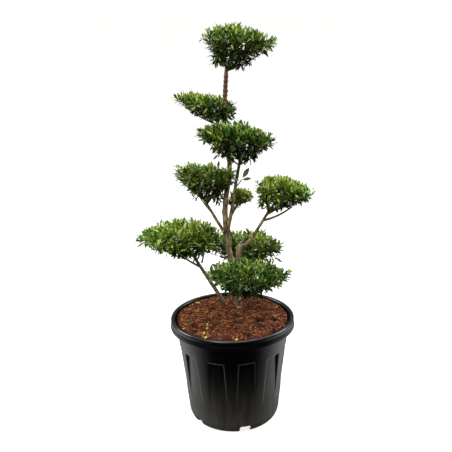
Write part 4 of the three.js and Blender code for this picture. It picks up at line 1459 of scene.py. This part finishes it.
def long_twigs(pad, fork, rng, twigs, shoots):
    """Long twigs up the funnel's side to the rim, bare at first and then set with short upright shoots."""
    for number in range(LONG_TWIGS):
        turn = math.tau * number / LONG_TWIGS + rng.normal(0, LONG_TWIG_STRAY)
        end = pad.point(TIP_SHARE, rng.uniform(*LONG_TWIG_LEVELS), turn)
        away = end - fork
        twigs.append((fork, end, twig_radius(LONG_TWIG_CARRIES), twig_radius(1)))
        out = Vector((away.x, away.y, 0)).normalized()
        aside = out.cross(UP)
        for share in np.arange(LONG_TWIG_BARE_SHARE, 1, LONG_TWIG_SHOOT_STEP / away.length):
            foot = fork.lerp(end, share)
            rise = UP * rng.uniform(*HEADS_UP) + out * rng.uniform(*HEADS_OUT)
            rise += aside * rng.uniform(*HEADS_ASIDE)
            shoots.append((foot, foot + rise.normalized() * rng.uniform(*LONG_TWIG_SHOOTS)))


def dress_shoot(pad, foot, tip, held, settings, wood, rng, leaves, most=0):
    """The leaves of one shoot, in a spiral down from its tip. A leaf without room is left out."""
    bend = shoot_bend(foot, tip)
    tint = spray_tint(pad, tip, rng)
    length = (tip - foot).length
    count = most or min(settings.per_shoot, int(length / settings.spacing) + 2)
    first = rng.uniform(0, math.tau)
    greener = GREENER if first < math.tau * pad.lush else {}
    for i in range(count):
        root, axis = on_shoot(foot, bend, tip, max(0, 1 - i * settings.spacing / length))
        share = i / max(1, count - 1)
        outward = Quaternion(axis, first + i * GOLDEN_ANGLE) @ axis.orthogonal().normalized()
        spread = (TIP_SPREAD + FOOT_SPREAD * share) * rng.uniform(*SPREADS)
        along = axis * math.cos(spread) + outward * math.sin(spread) + UP * (LEAF_LIFT * rng.uniform())
        along.normalize()
        grown = UNGROWN[i] if i < len(UNGROWN) else 1
        blade = settings.length * grown * rng.uniform(*LENGTHS)
        end = root + along * blade
        if (held and not pad.holds(end)) or in_wood(root.lerp(end, 0.5), wood) or in_wood(end, wood):
            continue
        face = (UP + Vector(rng.normal(0, FACE_STRAY, 3)) + outward * FACE_LEAN).normalized()
        dealt = leaf_tint(tint, i)
        if pad.cool and dealt in GREENER and rng.uniform() < COOL_SHARE:
            dealt = COOL
        wide = settings.width_share * rng.uniform(*WIDTHS)
        leaves.append((root, along, face, blade, wide, greener.get(dealt, dealt)))


def twig_in_metres(foot, tip, thick, thin):
    """A twig that is given in millimetres."""
    return Vector(foot) * MM, Vector(tip) * MM, thick * MM, thin * MM


def grow_large_shoot(settings, twigs, leaves):
    """The shoot with three large leaves, which turn their faces to the front and up."""
    twigs.append(twig_in_metres(*LARGE_SHOOT["twig"]))
    wide = settings.width_share * LARGE_LEAF_WIDTH
    for root, tip in LARGE_SHOOT["leaves"]:
        root, tip = Vector(root) * MM, Vector(tip) * MM
        along = tip - root
        leaves.append((root, along, LARGE_LEAF_FACE, along.length, wide, MID))


def grow_pad(pad, settings, wood, rng):
    """A pad's twigs, its last shoots and its leaves."""
    tips = shoot_tips(pad, round(pad.shoots * settings.shoot_multiple), rng)
    fork = pad.stem + pad.heading * STEM_LENGTH
    twigs = [(pad.stem - pad.heading * STEM_OVERLAP, fork, pad.stem_radius, twig_radius(len(tips)))]
    shoots = []
    branch(pad.stem, fork, tips, rng, twigs, shoots)
    long_twigs(pad, fork, rng, twigs, shoots)
    leaves = []
    for foot, tip in shoots:
        dress_shoot(pad, foot, tip, tip not in pad.loose, settings, wood, rng, leaves)
    for spare in SPARE_SHOOTS.get(pad.name, []):
        foot, tip = Vector(spare["foot"]) * MM, Vector(spare["tip"]) * MM
        shoots.append((foot, tip))
        dress_shoot(pad, foot, tip, False, settings, wood, rng, leaves, spare["leaves"])
    if pad.name == "centre":
        grow_large_shoot(settings, twigs, leaves)
    twigs.extend(twig_in_metres(*twig) for twig in BARE_TWIGS.get(pad.name, []))
    return twigs, shoots, leaves


def twig_piece(pad, twigs, shoots, materials, rng):
    """A pad's brown twigs and green shoots, joined into one piece."""
    gathered = Gathered()
    for foot, end, thick, thin in twigs:
        path = bent_path(foot, end, rng, TWIG_STATIONS)
        gathered.add(*tube(path, np.linspace(thick, thin, TWIG_STATIONS), TWIG_SIDES), 0)
    for foot, tip in shoots:
        bend = shoot_bend(foot, tip)
        path = [on_shoot(foot, bend, tip, share)[0] for share in np.linspace(0, 1, TWIG_STATIONS)]
        thick = TWIG_TIP_RADIUS * (SHOOT_FOOT_SHARE + (tip - foot).length / SHOOT_THICKENS)
        radii = np.linspace(thick, SHOOT_TIP_SHARE * TWIG_TIP_RADIUS, TWIG_STATIONS)
        gathered.add(*tube(path, radii, SHOOT_SIDES), 1)
    gathered_piece("twigs_" + pad.name, gathered, materials, ["foliage_" + pad.name])


def leaf_piece(pad, leaves, materials):
    """A pad's leaves, joined into one piece."""
    points = leaf_points(leaves)
    corners = len(leaf_template())
    faces = [[c + n * corners for c in face] for n in range(len(leaves)) for face in LEAF_FACES]
    tints = [leaf[-1] for leaf in leaves for _ in LEAF_FACES]
    piece("leaves_" + pad.name, points, faces, materials, ["foliage_" + pad.name], tints)


class BONSAI_OT_foliage(bpy.types.Operator):
    """Grow the twigs and leaves of every pad on from the limbs"""

    bl_idname = "bonsai.foliage"
    bl_label = "Grow Foliage"

    def execute(self, context):
        settings = context.scene.bonsai_leaf
        bark = context.scene.bonsai_bark
        greens = [holly_leaf("holly_leaf_" + tint, getattr(settings, tint)) for tint in TINTS]
        woods = [young_bark("brown_twig_bark", bark.twig), young_bark("green_shoot_bark", bark.shoot)]
        wood = wood_tree()
        for number, (name, sizes) in enumerate(PADS.items()):
            rng = np.random.default_rng(FIRST_PAD_SEED + number)
            pad = Pad(name, sizes)
            twigs, shoots, leaves = grow_pad(pad, settings, wood, rng)
            if not leaves:
                raise RuntimeError("no leaf found room in pad " + name)
            twig_piece(pad, twigs, shoots, woods, rng)
            leaf_piece(pad, leaves, greens)
        return {"FINISHED"}


# The stage.

# The softboxes, in metres: place, target, width and height, and the setting that gives the power.
SOFTBOXES = {
    "key": ((-1.3, -2.0, 2.5), (0, 0, 0.6), (1.5, 1.5), "key"),
    "overhead": ((0.3, 0.5, 2.9), (0, 0, 0.5), (2.0, 2.0), "overhead"),
    "left_side": ((-2.0, 0.5, 1.5), (0, 0, 0.5), (0.7, 1.2), "side"),
    "right_side": ((2.0, 0.5, 1.5), (0, 0, 0.5), (0.7, 1.2), "side"),
}

# The floor's rings, each with its radius and height, and how far it lies under the pot.
FLOOR_RINGS = [(12, 0), (60, 26)]
FLOOR_SIDES = 64
FLOOR_DROP = 0.4 * MM


def softbox(name, place, target, size, power):
    """A rectangular area light that faces a point."""
    lamp = bpy.data.lights.new(name, "AREA")
    lamp.shape = "RECTANGLE"
    lamp.size, lamp.size_y = size
    lamp.energy = power
    made = linked(name, lamp)
    made.location = place
    made.rotation_euler = (Vector(target) - Vector(place)).to_track_quat("-Z", "Y").to_euler()


def photo_camera():
    """The camera at the photograph's viewing angle, with the slight roll it was held at."""
    pitch, yaw, roll = (math.radians(angle) for angle in (CAMERA_PITCH, CAMERA_YAW, CAMERA_ROLL))
    ahead = Vector((math.sin(yaw) * math.cos(pitch), math.cos(yaw) * math.cos(pitch), -math.sin(pitch)))
    level = Vector((math.cos(yaw), -math.sin(yaw), 0))
    upright = level.cross(ahead)
    right = level * math.cos(roll) + upright * math.sin(roll)
    up = upright * math.cos(roll) - level * math.sin(roll)
    lens = bpy.data.cameras.new("photo_camera")
    lens.sensor_width = SENSOR_MM
    lens.lens = SENSOR_MM * FOCAL_PIXELS / PHOTO_PIXELS
    made = linked("photo_camera", lens)
    turned = Matrix((right, up, -ahead)).transposed().to_4x4()
    made.matrix_world = Matrix.Translation(CAMERA_PLACE) @ turned
    bpy.context.scene.camera = made


def stage_floor(settings):
    """A flat floor that sweeps up far away, so that no edge of it shows. It lights nothing but itself."""
    points = [(0, 0, 0)]
    for radius, height in FLOOR_RINGS:
        points.extend([(radius * math.cos(turn), radius * math.sin(turn), height)
                       for turn in even_turns(FLOOR_SIDES)])
    faces = disc_faces(len(FLOOR_RINGS), FLOOR_SIDES)
    floor = mesh_object("floor", points, faces, [pale_floor(settings.floor, settings.glow)])
    floor.location.z = -FLOOR_DROP
    floor.visible_diffuse = False
    floor.visible_glossy = False
    floor.visible_shadow = False
    return floor


def studio_sky(settings):
    """Soft light from above, grey walls and a white table at the sides, and a dark room otherwise."""
    world = bpy.data.worlds.new("studio")
    bpy.context.scene.world = world
    world.use_nodes = True
    tree = world.node_tree
    way = add_node(tree, "TexCoord")
    axes = add_node(tree, "SeparateXYZ", {"Vector": (way, "Generated")})
    behind = add_node(tree, "MapRange", {"Value": (axes, "Y"), "From Min": -0.4, "From Max": 0.2})
    ahead = add_node(tree, "MapRange", {"Value": (axes, "Y"), "From Min": 0.98, "From Max": 0.55})
    aside = add_node(tree, "Math", {0: behind, 1: ahead}, operation="MULTIPLY")
    near = add_node(tree, "MapRange", {"Value": (axes, "Z"), "From Min": -0.1, "From Max": -0.35})
    far = add_node(tree, "MapRange", {"Value": (axes, "Z"), "From Min": -0.9, "From Max": -0.65})
    band = add_node(tree, "Math", {0: near, 1: far}, operation="MULTIPLY")
    table = rgba([settings.table] * 3)
    beside = add_node(tree, "MixRGB", {"Fac": band, "Color1": rgba(settings.backdrop), "Color2": table})
    around = add_node(tree, "MixRGB", {"Fac": aside, "Color1": rgba(settings.room), "Color2": beside})
    height = add_node(tree, "MapRange", {"Value": (axes, "Z"), "From Min": 0.1, "From Max": 0.75})
    mixed = add_node(tree, "MixRGB", {"Fac": height, "Color1": around, "Color2": (1, 1, 1, 1)})
    sky = tree.nodes["Background"]
    feed(tree, sky.inputs["Color"], mixed)
    feed(tree, sky.inputs["Strength"], settings.sky)


class BONSAI_OT_stage(bpy.types.Operator):
    """Make the pale floor, the studio light and the camera"""

    bl_idname = "bonsai.stage"
    bl_label = "Make Stage"

    def execute(self, context):
        settings = context.scene.bonsai_stage
        floor = stage_floor(settings)
        studio_sky(settings)
        for name, (place, target, size, power) in SOFTBOXES.items():
            softbox(name, place, target, size, getattr(settings, power))
        photo_camera()
        context.scene.view_settings.view_transform = "Standard"
        return {"FINISHED"}


class BONSAI_PT_panel(bpy.types.Panel):
    """The bonsai's operators and settings"""

    bl_idname = "BONSAI_PT_panel"
    bl_label = "Potted Holly Bonsai"
    bl_space_type = "VIEW_3D"
    bl_region_type = "UI"
    bl_category = "Bonsai"

    def draw(self, context):
        for operator, group in STEPS:
            box = self.layout.box()
            box.operator(operator.bl_idname)
            settings = getattr(context.scene, group)
            for name in settings.bl_rna.properties.keys():
                if name not in ("rna_type", "name"):
                    box.prop(settings, name)


# Each step's operator, with the settings it shows in the panel.
STEPS = [
    (BONSAI_OT_stage, "bonsai_stage"),
    (BONSAI_OT_pot, "bonsai_pot"),
    (BONSAI_OT_soil, "bonsai_soil"),
    (BONSAI_OT_limbs, "bonsai_bark"),
    (BONSAI_OT_foliage, "bonsai_leaf"),
]
GROUPS = {
    "bonsai_stage": StageSettings,
    "bonsai_pot": PotSettings,
    "bonsai_soil": SoilSettings,
    "bonsai_bark": BarkSettings,
    "bonsai_leaf": LeafSettings,
}


def register():
    """Registers the settings, the operators and the panel."""
    for name, group in GROUPS.items():
        bpy.utils.register_class(group)
        setattr(bpy.types.Scene, name, PointerProperty(type=group))
    for operator, _ in STEPS:
        bpy.utils.register_class(operator)
    bpy.utils.register_class(BONSAI_PT_panel)


def unregister():
    """Removes all that register added, in reverse."""
    bpy.utils.unregister_class(BONSAI_PT_panel)
    for operator, _ in reversed(STEPS):
        bpy.utils.unregister_class(operator)
    for name, group in reversed(GROUPS.items()):
        delattr(bpy.types.Scene, name)
        bpy.utils.unregister_class(group)


def main():
    """Runs every step."""
    register()
    bpy.ops.bonsai.stage()
    bpy.ops.bonsai.pot()
    bpy.ops.bonsai.soil()
    bpy.ops.bonsai.limbs()
    bpy.ops.bonsai.foliage()


if __name__ == "__main__":
    main()
